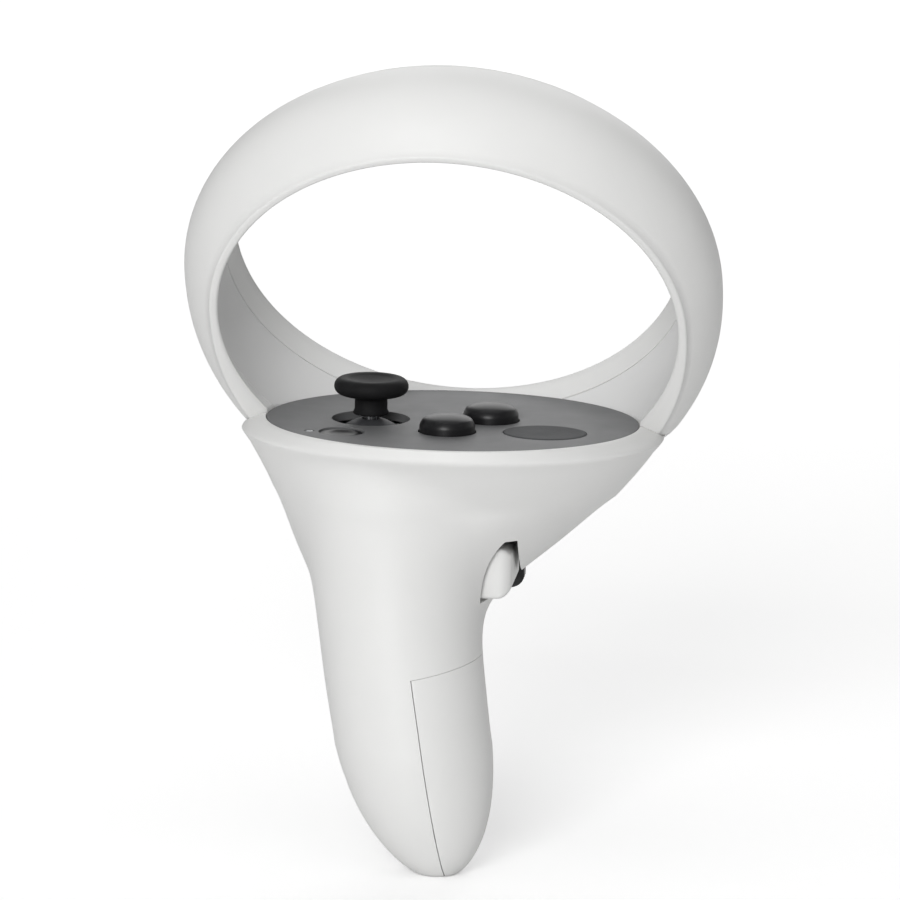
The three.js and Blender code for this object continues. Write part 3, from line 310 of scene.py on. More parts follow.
def carve(body: BMesh, tools: Sequence[BMesh], how: Carve = Carve.CUT) -> BMesh:
    """Cuts solids out of a body, joins them to it or keeps only what they share.

    Args:
        body: The solid that is worked on; it is used up.
        tools: The solids that work on it, in order; they are used up.
        how: What each tool does.

    Returns:
        The solid that is left.
    """
    target = loose_object(body, "work")
    helpers = [loose_object(tool, "tool") for tool in tools]
    for helper in helpers:
        modifier = target.modifiers.new("carve", "BOOLEAN")
        modifier.operation = how.value
        modifier.solver = "EXACT"
        modifier.object = helper
    bpy.context.view_layer.update()
    shaped = target.evaluated_get(bpy.context.evaluated_depsgraph_get())
    result = bmesh.new()
    result.from_mesh(shaped.to_mesh())
    shaped.to_mesh_clear()
    for item in [target, *helpers]:
        mesh = item.data
        bpy.data.objects.remove(item)
        bpy.data.meshes.remove(mesh)
    return result


def soften(bm: BMesh, width: float, over: float = 38.0, segments: int = 2, weld: float = 0.06,
           skip: Optional[Callable[[BMEdge], bool]] = None) -> BMesh:
    """Rounds the edges of a solid that turn sharply.

    Args:
        bm: The solid.
        width: Width of the rounding.
        over: The least turn in degrees that is rounded.
        segments: Faces across the rounding.
        weld: Vertices nearer than this are merged first.
        skip: Names the edges that stay sharp.

    Returns:
        The same solid.
    """
    bmesh.ops.remove_doubles(bm, verts=bm.verts[:], dist=weld)
    bmesh.ops.dissolve_degenerate(bm, edges=bm.edges[:], dist=weld / 4)
    limit = math.radians(over)
    sharp = [edge for edge in bm.edges if edge.is_manifold and edge.calc_face_angle(0.0) > limit]
    if skip:
        sharp = [edge for edge in sharp if not skip(edge)]
    bmesh.ops.bevel(bm, geom=sharp, offset=width, offset_type="OFFSET", segments=segments,
                    profile=0.5, affect="EDGES", clamp_overlap=True, material=-1)
    return bm


# ---- Finishes -----------------------------------------------------------------------------------


class NodeSheet:
    """A material's node tree, with short ways to add and join nodes."""

    def __init__(self, name: str) -> None:
        """Starts a material that holds one surface shader."""
        self.material = bpy.data.materials.new(name)
        self.material.use_nodes = True
        self.tree = self.material.node_tree
        self.shader = self.tree.nodes["Principled BSDF"]
        self.place = self.add("ShaderNodeTexCoord").outputs["Object"]

    def add(self, kind: str, **settings: object) -> bpy.types.Node:
        """Adds a node and sets its properties."""
        node = self.tree.nodes.new(kind)
        for key, value in settings.items():
            setattr(node, key, value)
        return node

    def join(self, source: bpy.types.NodeSocket, target: bpy.types.NodeSocket) -> None:
        """Joins an output to an input."""
        self.tree.links.new(source, target)

    def noise(self, size: float, detail: float = 3.0, stretch: Sequence[float] = (1, 1, 1),
              rough: float = 0.5) -> bpy.types.NodeSocket:
        """Adds a noise pattern.

        Args:
            size: Size of its patches in millimetres.
            detail: How many finer layers it has.
            stretch: How many times longer it is along each axis.
            rough: How strong the finer layers are.

        Returns:
            The pattern's value, about 0.5 on average.
        """
        mapping = self.add("ShaderNodeMapping")
        mapping.inputs["Scale"].default_value = [1 / (size * MM * s) for s in stretch]
        noise = self.add("ShaderNodeTexNoise")
        noise.inputs["Scale"].default_value = 1.0
        noise.inputs["Detail"].default_value = detail
        noise.inputs["Roughness"].default_value = rough
        self.join(self.place, mapping.inputs["Vector"])
        self.join(mapping.outputs["Vector"], noise.inputs["Vector"])
        return noise.outputs["Fac"]

    def range(self, value: bpy.types.NodeSocket, low: float, high: float,
              source: Point = (0.3, 0.7)) -> bpy.types.NodeSocket:
        """Maps a pattern's usual span to another span."""
        node = self.add("ShaderNodeMapRange")
        node.inputs["From Min"].default_value = source[0]
        node.inputs["From Max"].default_value = source[1]
        node.inputs["To Min"].default_value = low
        node.inputs["To Max"].default_value = high
        self.join(value, node.inputs["Value"])
        return node.outputs["Result"]

    def blend(self, amount: bpy.types.NodeSocket, first: Colour | bpy.types.NodeSocket,
              second: Colour) -> bpy.types.NodeSocket:
        """Mixes a colour or a coloured pattern with a second colour by a value."""
        node = self.add("ShaderNodeMix", data_type="RGBA")
        colours = [socket for socket in node.inputs if socket.type == "RGBA"]
        if isinstance(first, bpy.types.NodeSocket):
            self.join(first, colours[0])
        else:
            colours[0].default_value = (*first, 1)
        colours[1].default_value = (*second, 1)
        self.join(amount, node.inputs["Factor"])
        return [socket for socket in node.outputs if socket.type == "RGBA"][0]

    def bump(self, height: bpy.types.NodeSocket, depth: float, strength: float = 1.0,
             base: Optional[bpy.types.NodeSocket] = None) -> bpy.types.NodeSocket:
        """Turns a height pattern into a surface relief.

        Args:
            height: The pattern.
            depth: Its full height in millimetres.
            strength: How much of it shows.
            base: A relief that it lies on.

        Returns:
            The surface direction.
        """
        node = self.add("ShaderNodeBump")
        node.inputs["Distance"].default_value = depth * MM
        node.inputs["Strength"].default_value = strength
        self.join(height, node.inputs["Height"])
        if base is not None:
            self.join(base, node.inputs["Normal"])
        return node.outputs["Normal"]

    def use(self, socket: str, source: bpy.types.NodeSocket) -> None:
        """Joins a pattern to one of the shader's inputs."""
        self.join(source, self.shader.inputs[socket])

    def set(self, socket: str, value: object) -> None:
        """Sets one of the shader's inputs."""
        self.shader.inputs[socket].default_value = value


def shade(colour: Colour, factor: float) -> Colour:
    """Makes a colour lighter or darker."""
    return tuple(clamp(channel * factor) for channel in colour)


@dataclass(frozen=True)
class MouldedPlastic:
    """Plastic from a mould with a fine eroded grain, faintly uneven sheen and handling marks."""

    name: str
    colour: Colour
    roughness: float = 0.45
    spread: float = 0.08
    grain_size: float = 0.28
    grain_depth: float = 0.010
    variation: float = 0.03
    specular: float = 0.5

    def build(self) -> bpy.types.Material:
        """Makes the material."""
        sheet = NodeSheet(self.name)
        mottle = sheet.noise(18.0, detail=4.0)
        tone = sheet.range(mottle, 0.0, 1.0)
        dark = shade(self.colour, 1 - self.variation)
        light = shade(self.colour, 1 + self.variation)
        sheet.use("Base Color", sheet.blend(tone, dark, light))
        marks = sheet.noise(7.0, detail=6.0, rough=0.65)
        half = self.spread / 2
        sheet.use("Roughness", sheet.range(marks, self.roughness - half, self.roughness + half))
        grain = sheet.noise(self.grain_size, detail=2.0)
        wave = sheet.noise(26.0, detail=1.0)
        relief = sheet.bump(wave, 0.06, 0.5)
        sheet.use("Normal", sheet.bump(grain, self.grain_depth, 1.0, relief))
        sheet.set("Specular IOR Level", self.specular)
        return sheet.material


@dataclass(frozen=True)
class SoftRubber:
    """Matt rubber or silicone with a fine leathery tooth and lighter dust in random patches."""

    name: str
    colour: Colour
    roughness: float = 0.7
    tooth: float = 0.35
    specular: float = 0.12

    def build(self) -> bpy.types.Material:
        """Makes the material."""
        sheet = NodeSheet(self.name)
        dust = sheet.noise(4.0, detail=5.0, rough=0.7)
        sheet.use("Base Color", sheet.blend(sheet.range(dust, 0, 1), self.colour, shade(self.colour, 1.6)))
        sheet.use("Roughness", sheet.range(dust, self.roughness - 0.06, self.roughness + 0.06))
        cells = sheet.add("ShaderNodeTexVoronoi")
        cells.inputs["Scale"].default_value = 1 / (self.tooth * MM)
        sheet.join(sheet.place, cells.inputs["Vector"])
        sheet.use("Normal", sheet.bump(cells.outputs["Distance"], 0.02, 0.6))
        sheet.set("Specular IOR Level", self.specular)
        return sheet.material


@dataclass(frozen=True)
class DrawnMetal:
    """Bright metal with drawing lines along one axis and faint smears."""

    name: str
    colour: Colour
    along: Sequence[float] = (1, 1, 14)
    roughness: float = 0.28

    def build(self) -> bpy.types.Material:
        """Makes the material."""
        sheet = NodeSheet(self.name)
        lines = sheet.noise(0.12, detail=2.0, stretch=self.along)
        smear = sheet.noise(3.0, detail=4.0)
        sheet.use("Base Color", sheet.blend(sheet.range(smear, 0, 1), shade(self.colour, 0.9), self.colour))
        sheet.use("Roughness", sheet.range(lines, self.roughness - 0.08, self.roughness + 0.1))
        sheet.use("Normal", sheet.bump(lines, 0.004))
        sheet.set("Metallic", 1.0)
        return sheet.material


@dataclass(frozen=True)
class PrintedBoard:
    """Solder-masked laminate with copper tracks that show through and small bright pads."""

    name: str
    mask: Colour
    track: Colour
    pad: Colour
    pitch: float = 1.3

    def build(self) -> bpy.types.Material:
        """Makes the material."""
        sheet = NodeSheet(self.name)
        bricks = sheet.add("ShaderNodeTexBrick", offset=0.37, squash=2.3, squash_frequency=3)
        bricks.inputs["Scale"].default_value = 1 / (self.pitch * 4 * MM)
        bricks.inputs["Mortar Size"].default_value = 0.03
        bricks.inputs["Color1"].default_value = (*self.mask, 1)
        bricks.inputs["Color2"].default_value = (*shade(self.mask, 1.25), 1)
        bricks.inputs["Mortar"].default_value = (*self.track, 1)
        sheet.join(sheet.place, bricks.inputs["Vector"])
        pads = sheet.add("ShaderNodeTexVoronoi")
        pads.inputs["Scale"].default_value = 1 / (self.pitch * 1.7 * MM)
        sheet.join(sheet.place, pads.inputs["Vector"])
        spot = sheet.range(pads.outputs["Distance"], 1.0, 0.0, (0.16, 0.2))
        sheet.use("Base Color", sheet.blend(spot, bricks.outputs["Color"], self.pad))
        sheet.use("Roughness", sheet.range(sheet.noise(1.0), 0.35, 0.5))
        sheet.use("Normal", sheet.bump(bricks.outputs["Fac"], 0.03))
        return sheet.material


@dataclass(frozen=True)
class CellSleeve:
    """Printed sleeve of a dry cell: two plain colours that meet at a ring, and steel ends."""

    name: str
    lower: Colour
    upper: Colour
    steel: Colour

    def build(self) -> bpy.types.Material:
        """Makes the material; it reads two attributes that the cell's mesh carries."""
        sheet = NodeSheet(self.name)
        along = sheet.add("ShaderNodeAttribute", attribute_name=ALONG_CELL).outputs["Fac"]
        bare = sheet.add("ShaderNodeAttribute", attribute_name=BARE_STEEL).outputs["Fac"]
        ring = sheet.range(along, 0.0, 1.0, (0.7, 0.703))
        printed = sheet.blend(ring, self.lower, self.upper)
        sheet.use("Base Color", sheet.blend(bare, printed, self.steel))
        sheet.use("Metallic", bare)
        scuffs = sheet.noise(2.5, detail=6.0, rough=0.7)
        sheet.use("Roughness", sheet.range(scuffs, 0.22, 0.36))
        sheet.use("Normal", sheet.bump(scuffs, 0.01))
        return sheet.material


@dataclass(frozen=True)
class ClearPlastic:
    """Milky clear plastic that passes light."""

    name: str
    colour: Colour

    def build(self) -> bpy.types.Material:
        """Makes the material."""
        sheet = NodeSheet(self.name)
        haze = sheet.noise(0.6)
        sheet.use("Base Color", sheet.blend(sheet.range(haze, 0, 1), self.colour, shade(self.colour, 0.93)))
        sheet.use("Roughness", sheet.range(haze, 0.12, 0.22))
        sheet.set("Transmission Weight", 0.5)
        sheet.set("IOR", 1.49)
        return sheet.material


class Finishes:
    """Every finish of the controller, made once."""

    def __init__(self) -> None:
        """Builds the materials."""
        self.white = MouldedPlastic("white_plastic", (0.80, 0.80, 0.79), roughness=0.46,
                                    variation=0.012, specular=0.35).build()
        self.cover = MouldedPlastic("white_cover_plastic", (0.77, 0.77, 0.765), roughness=0.5,
                                    grain_size=0.4, variation=0.012).build()
        self.grey = MouldedPlastic("grey_plastic", (0.145, 0.147, 0.15), roughness=0.55,
                                   grain_size=0.3, grain_depth=0.014, specular=0.35).build()
        self.rest = MouldedPlastic("rest_plastic", (0.058, 0.06, 0.063), roughness=0.7,
                                   grain_size=0.55, grain_depth=0.05, specular=0.3).build()
        self.black = MouldedPlastic("black_plastic", (0.008, 0.008, 0.009), roughness=0.36,
                                    grain_size=0.25, grain_depth=0.006, variation=0.1,
                                    specular=0.32).build()
        self.frame = MouldedPlastic("frame_plastic", (0.05, 0.052, 0.056), roughness=0.6).build()
        self.stick = SoftRubber("stick_rubber", (0.0085, 0.0085, 0.009), roughness=0.62).build()
        self.rubber = SoftRubber("rubber", (0.03, 0.03, 0.032), roughness=0.75).build()
        self.steel = DrawnMetal("steel", (0.62, 0.63, 0.65)).build()
        self.gold = DrawnMetal("contact_metal", (0.83, 0.62, 0.27), roughness=0.24).build()
        self.board = PrintedBoard("circuit_board", (0.012, 0.10, 0.045), (0.03, 0.19, 0.08),
                                  (0.75, 0.6, 0.3)).build()
        self.flex = PrintedBoard("flex_strip", (0.42, 0.2, 0.05), (0.62, 0.34, 0.1),
                                 (0.8, 0.75, 0.6), pitch=0.9).build()
        self.cell = CellSleeve("battery_label", (0.025, 0.04, 0.07), (0.66, 0.36, 0.14),
                               (0.7, 0.7, 0.71)).build()
        self.clear = ClearPlastic("clear_plastic", (0.86, 0.89, 0.92)).build()


# ---- Form ---------------------------------------------------------------------------------------


@dataclass(frozen=True)
class Section:
    """A level elliptical section: its centre and half-sizes."""

    x: float
    y: float
    half_width: float
    half_depth: float

    def reach(self, start: Point, angle: float) -> float:
        """Measures from a point inside to the section's edge.

        Args:
            start: The point.
            angle: The direction in radians.

        Returns:
            The distance, or 0 if the section isn't met.
        """
        ux = math.cos(angle) / self.half_width
        uy = math.sin(angle) / self.half_depth
        px = (start[0] - self.x) / self.half_width
        py = (start[1] - self.y) / self.half_depth
        a = ux * ux + uy * uy
        b = px * ux + py * uy
        root = b * b - a * (px * px + py * py - 1)
        return max(0.0, (math.sqrt(root) - b) / a) if root > 0 else 0.0


@dataclass(frozen=True)
class Form:
    """The controller's outer form, and the sizes that its pieces share."""

    wall: float = 1.8
    gap: float = 0.3
    plate_half_width: float = 34.0
    plate_front: float = 28.6
    plate_rear: float = 27.6
    plate_thick: float = 1.6
    collar_half_width: float = 38.7
    collar_front: float = 30.7
    collar_rear: float = 30.0
    collar_depth: float = 2.0
    ledge_inset: float = 2.6
    ledge_top: float = 1.9
    ledge_bottom: float = 4.2
    seam_depth: float = 2.2
    blend: float = 6.0
    blend_starts: float = 8.0
    blend_least: float = 0.05
    blend_grow: float = 0.8
    blend_from: float = 9.0
    blend_over: float = 10.0

    ring_tilt: float = math.radians(36)
    ring_y: float = -14.5
    ring_z: float = 19.9
    ring_width: float = 23.5
    ring_radius: float = 48.9
    ring_crown: float = 24.0
    inner_near: float = 41.6
    inner_middle: float = 44.3
    inner_far: float = 40.9
    bulge: float = 3.3
    bulge_power: float = 1.6
    bulge_from: float = 38.0
    bulge_to: float = 80.0
    ring_lowest: float = 26.0

    handle_end: float = 78.8
    handle_round_from: float = 50.0
    handle_round_power: float = 2.6
    handle_half_width: float = 15.4
    handle_width_taper: float = 0.03
    handle_half_depth: float = 17.5
    handle_depth_taper: float = 0.085
    handle_top: float = 25.0
    handle_x: float = -8.2
    handle_lean_x: float = 0.141
    handle_lean_x_above: float = 0.6
    handle_bend_x: float = 0.0013
    handle_y: float = -13.5
    handle_lean_y: float = -0.247
    handle_lean_y_above: float = 0.9
    handle_bend_depth: float = 33.0

    cone_narrowing: float = 0.655
    cone_front: float = 0.85
    cone_rear: float = 0.7
    cone_bend: float = 0.0095
    cone_end: float = 26.0
    cone_length: float = 8.0
    middle_x: float = -6.0
    middle_y: float = -4.0
    middle_depth: float = 28.0
    middle_fade: float = 14.0

    def place(self) -> Matrix:
        """Gives the matrix from this frame, in millimetres, to the model's, in metres."""
        low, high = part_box("faceplate")
        y = (low.y + high.y) / 2 + (self.plate_front - self.plate_rear) / 2 * MM
        return Matrix.Translation(((low.x + high.x) / 2, y, high.z)) @ Matrix.Scale(MM, 4)

    def ring_place(self) -> Matrix:
        """Gives the matrix from the ring's frame, whose axis is Y, to the plate's."""
        return Matrix.Translation((0, self.ring_y, self.ring_z)) @ Matrix.Rotation(self.ring_tilt, 4, "X")

    def ring_outer(self, along: float) -> float:
        """Radius of the ring's outer face at a distance along its axis."""
        share = (along - self.ring_width / 2) / self.ring_crown
        return self.ring_radius * math.sqrt(max(0.0, 1 - share * share))

    def ring_inner(self, along: float) -> float:
        """Radius of the ring's hollow inner face at a distance along its axis."""
        middle = self.ring_width / 2
        end = self.inner_near if along < middle else self.inner_far
        share = (along - middle) / middle
        return self.inner_middle - (self.inner_middle - end) * share * share

    def ring_bulge(self, angle: float) -> float:
        """How far the ring's outer face swells at an angle, in radians, above level."""
        below = -math.degrees(angle)
        if below <= 0 or below >= self.bulge_to:
            return 0.0
        if below <= self.bulge_from:
            return self.bulge * (below / self.bulge_from) ** self.bulge_power
        fade = (below - self.bulge_from) / (self.bulge_to - self.bulge_from)
        return self.bulge * math.cos(fade * math.pi / 2)

    def in_ring(self, x: float, y: float, z: float) -> bool:
        """Tells whether a point is inside the disc that the ring's outer face encloses."""
        sine, cosine = math.sin(self.ring_tilt), math.cos(self.ring_tilt)
        along = (y - self.ring_y) * cosine + (z - self.ring_z) * sine
        if along < 0 or along > self.ring_width:
            return False
        up = (z - self.ring_z) * cosine - (y - self.ring_y) * sine
        return math.hypot(x, up) < self.ring_outer(along) + self.ring_bulge(math.atan2(up, abs(x)))

    def handle_section(self, depth: float) -> Section:
        """Gives the handle's section at a depth."""
        below = depth - self.handle_bend_depth
        lower = max(0.0, below)
        share = clamp((depth - self.handle_round_from) / (self.handle_end - self.handle_round_from))
        end = max(1e-4, math.sqrt(max(0.0, 1 - share ** self.handle_round_power)))
        lean_x = self.handle_lean_x * (1 if below > 0 else self.handle_lean_x_above)
        lean_y = self.handle_lean_y * (1 if below > 0 else self.handle_lean_y_above)
        return Section(
            self.handle_x + lean_x * below + self.handle_bend_x * lower * lower,
            self.handle_y + lean_y * below,
            (self.handle_half_width - self.handle_width_taper * (depth - self.handle_top)) * end,
            (self.handle_half_depth - self.handle_depth_taper * (depth - self.handle_top)) * end,
        )

    def head_section(self, depth: float) -> Section:
        """Gives the section of the collar, or of the tapering head under it, at a depth."""
        share = min(1.0, depth / self.collar_depth)
        below = max(0.0, depth - self.collar_depth)
        late = clamp((depth - self.cone_end) / self.cone_length)
        end = max(1e-4, math.sqrt(max(0.0, 1 - late * late)))
        lip = self.ledge_inset / 2
        front = self.plate_front + lip + (self.collar_front - self.plate_front - lip) * share
        rear = self.plate_rear + lip + (self.collar_rear - self.plate_rear - lip) * share
        side = self.plate_half_width + lip / 2
        side += (self.collar_half_width - side) * share
        front -= self.cone_front * below
        rear -= self.cone_rear * below
        return Section(
            -self.cone_bend * below * (below + 2),
            (rear - front) / 2,
            (side - self.cone_narrowing * below) * end,
            (rear + front) / 2 * end,
        )

    def middle(self, depth: float) -> Point:
        """Gives a point that lies inside every volume of the casing at a depth."""
        share = min(1.0, depth / self.middle_depth)
        lower = clamp((depth - self.middle_depth) / self.middle_fade)
        handle = self.handle_section(depth)
        x = self.middle_x * share * (1 - lower) + handle.x * lower
        y = self.middle_y * share * (1 - lower) + handle.y * lower
        return x, y

    def reach_ring(self, start: Point, angle: float, depth: float) -> float:
        """Measures from a point to the far side of the ring's disc in a level direction."""
        if depth > self.ring_lowest:
            return 0.0
        ux, uy = math.cos(angle), math.sin(angle)
        far = self.collar_half_width * 1.5
        while far > 0 and not self.in_ring(start[0] + ux * far, start[1] + uy * far, -depth):
            far -= 1.0
        if far <= 0:
            return 0.0
        step = 0.5
        while step > 0.005:
            if self.in_ring(start[0] + ux * (far + step), start[1] + uy * (far + step), -depth):
                far += step
            step /= 2
        return far

    def outline(self, depth: float, angle: float) -> float:
        """Radius of the casing at a depth and angle, measured from its middle."""
        start = self.middle(depth)
        size = clamp((depth - self.seam_depth) / self.blend_starts, self.blend_least, 1) * self.blend
        wide = size * (1 + self.blend_grow * clamp((depth - self.blend_from) / self.blend_over))
        handle = self.handle_section(depth).reach(start, angle)
        in_head = depth < self.cone_end + self.cone_length
        head = self.head_section(depth).reach(start, angle) if in_head else 0.0
        body = smooth_max(handle, head, wide)
        if depth < self.seam_depth:
            return body
        return smooth_max(body, self.reach_ring(start, angle, depth), size)

    def loft(self, depths: Sequence[float], sides: int, inset: float) -> BMesh:
        """Draws the casing's form through level rings.

        Args:
            depths: Depth of each ring, from the top down.
            sides: Vertices in each ring.
            inset: How far the form is drawn in.

        Returns:
            The closed solid.
        """
        bm = bmesh.new()
        verts = bmesh.ops.create_circle(bm, cap_ends=False, segments=sides, radius=1.0)["verts"]
        edges = bm.edges[:]
        bmesh.ops.holes_fill(bm, edges=edges, sides=0)
        last: Point = (0.0, 0.0)
        for number, depth in enumerate(depths):
            if number:
                made = bmesh.ops.extrude_edge_only(bm, edges=edges)["geom"]
                verts = [item for item in made if isinstance(item, BMVert)]
                edges = [item for item in made if isinstance(item, BMEdge)]
            x, y = self.middle(depth)
            for vert in verts:
                angle = math.atan2(vert.co.y - last[1], vert.co.x - last[0])
                radius = max(0.05, self.outline(depth, angle) - inset)
                vert.co = (x + radius * math.cos(angle), y + radius * math.sin(angle), -depth)
            last = (x, y)
        bmesh.ops.holes_fill(bm, edges=edges, sides=0)
        return tidy(bm, 0.001)

    def plate_solid(self, margin: float, low: float, high: float) -> BMesh:
        """Makes an upright solid with the faceplate's outline, moved outwards by a margin."""
        middle = (self.plate_rear - self.plate_front) / 2
        half = (self.plate_rear + self.plate_front) / 2
        return oval(0, middle, self.plate_half_width + margin, half + margin, low, high, 160)


def smooth_max(a: float, b: float, size: float) -> float:
    """Gives the larger of two lengths, with a smooth join where they are close."""
    near = max(0.0, size - abs(a - b)) / size
    return max(a, b) + near * near * size / 4


# ---- Sub-assemblies -----------------------------------------------------------------------------


@dataclass
class Workshop:
    """What every sub-assembly needs: the form, the finishes and a way to hand pieces over."""

    form: Form
    finishes: Finishes
    place: Matrix = field(init=False)
    made: list[str] = field(default_factory=list)

    def __post_init__(self) -> None:
        """Works out where the plate's frame lies in the model."""
        self.place = self.form.place()

    def hand_over(self, bm: BMesh, name: str, look: bpy.types.Material, body: str, slot: str,
                  nodes: Sequence[str], sharp: float = 40.0, weighted: bool = False) -> None:
        """Turns a mesh into a finished piece that rides on a body.

        Args:
            bm: The mesh, in the plate's frame; it is used up.
            name: The piece's name.
            look: Its material.
            body: The body that it moves with.
            slot: The record's material slot; it is not used.
            nodes: The CAD nodes that it stands for.
            sharp: Edges that turn by more degrees than this stay crisp.
            weighted: Whether large faces set the shading at their edges.
        """
        moved(bm, self.place)
        bmesh.ops.dissolve_degenerate(bm, edges=bm.edges[:], dist=1e-6)
        for face in bm.faces:
            face.smooth = True
        for edge in bm.edges:
            edge.smooth = not edge.is_manifold or edge.calc_face_angle(0.0) < math.radians(sharp)
        item = loose_object(bm, name)
        item.data.materials.append(look)
        if weighted:
            modifier = item.modifiers.new("shading", "WEIGHTED_NORMAL")
            modifier.keep_sharp = True
        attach(item, body)
        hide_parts(*nodes)
        self.made.append(name)
        LOG.info("%s: %d faces on %s", name, len(item.data.polygons), body)

    def dress(self, look: bpy.types.Material, nodes: Iterable[str]) -> None:
        """Gives CAD nodes a finish."""
        for node in nodes:
            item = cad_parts[node]
            for slot in item.material_slots:
                slot.link = "OBJECT"
                slot.material = look
            LOG.info("%s keeps its CAD shape, finished as %s", node, look.name)


@dataclass
class TrackingRing:
    """The ring: an outer shell that wraps round both rims, and a cover inside it."""

    shop: Workshop
    rim: float = 0.55
    skin: float = 1.4
    cover_thick: float = 1.2
    cover_near: float = 4.0
    cover_far: float = 19.5
    cover_edge: float = 0.15
    seam: float = 0.05
    plate_gap: float = 0.12
    steps: int = 192

    def band(self, points: Sequence[Point]) -> BMesh:
        """Turns a closed (radius, along) profile about the ring's axis and swells its lower sides."""
        form = self.shop.form
        bm = turned(points, self.steps, closed=True)
        moved(bm, Matrix.Rotation(-math.pi / 2, 4, "X"))
        for vert in bm.verts:
            radius = math.hypot(vert.co.x, vert.co.z)
            inner = form.ring_inner(vert.co.y)
            share = clamp((radius - inner) / (form.ring_outer(vert.co.y) - inner))
            swell = form.ring_bulge(math.atan2(vert.co.z, abs(vert.co.x))) * share
            vert.co.x *= (radius + swell) / radius
            vert.co.z *= (radius + swell) / radius
        return moved(bm, form.ring_place())

    def trimmed(self, bm: BMesh, depth: float) -> BMesh:
        """Cuts a band off where the head starts, and clear of the faceplate."""
        form = self.shop.form
        below = box_between((-HIGH, -HIGH, -HIGH), (HIGH, HIGH, -depth))
        recess = form.plate_solid(self.plate_gap, -form.seam_depth - 1, form.collar_depth)
        return carve(bm, [below, recess])

    def outer_profile(self) -> list[Point]:
        """Outline of the outer shell: crown, rounded rims and the rebate for the cover."""
        form = self.shop.form
        width, rim = form.ring_width, self.rim
        near = form.ring_outer(rim) - rim
        far = form.ring_outer(width - rim) - rim
        crown = [(form.ring_outer(s), s) for s in spread(rim, width - rim, 25)]
        lip_near, lip_far = self.cover_near - self.seam, self.cover_far + self.seam
        inside = [(form.ring_outer(s) - self.skin, s) for s in spread(lip_far, lip_near, 9)]
        inner_far = [(form.ring_inner(s), s) for s in spread(width - rim, lip_far, 5)]
        inner_near = [(form.ring_inner(s), s) for s in spread(lip_near, rim, 5)]
        return [
            *arc((form.inner_near + rim, rim), rim, 200, 270, 4),
            *arc((near, rim), rim, 270, 350, 5),
            *crown,
            *arc((far, width - rim), rim, 10, 90, 5),
            *arc((form.inner_far + rim, width - rim), rim, 90, 160, 4),
            *inner_far,
            *inside,
            *inner_near,
        ]

    def cover_profile(self) -> list[Point]:
        """Outline of the cover."""
        form = self.shop.form
        near, far, thick, edge = self.cover_near, self.cover_far, self.cover_thick, self.cover_edge
        outside = [(form.ring_inner(s) + thick, s) for s in spread(near, far, 7)]
        inside = [(form.ring_inner(s), s) for s in spread(far - edge, near + edge, 15)]
        return [*outside, (form.ring_inner(far) + edge, far), *inside, (form.ring_inner(near) + edge, near)]

    def build(self) -> None:
        """Makes the shell and the cover, and dresses the lamp strip."""
        shop, form = self.shop, self.shop.form
        shell = self.trimmed(self.band(self.outer_profile()), form.seam_depth + HAIRLINE)
        shop.hand_over(shell, "ring_shell", shop.finishes.white, "casing", "white_plastic",
                       ["ring_outer_shell"], sharp=50)
        cover = self.trimmed(self.band(self.cover_profile()), form.seam_depth / 2)
        shop.hand_over(cover, "ring_cover", shop.finishes.cover, "casing", "white_plastic",
                       ["ring_inner_cover"], sharp=50)
        shop.dress(shop.finishes.flex, ["ring_led_flex"])


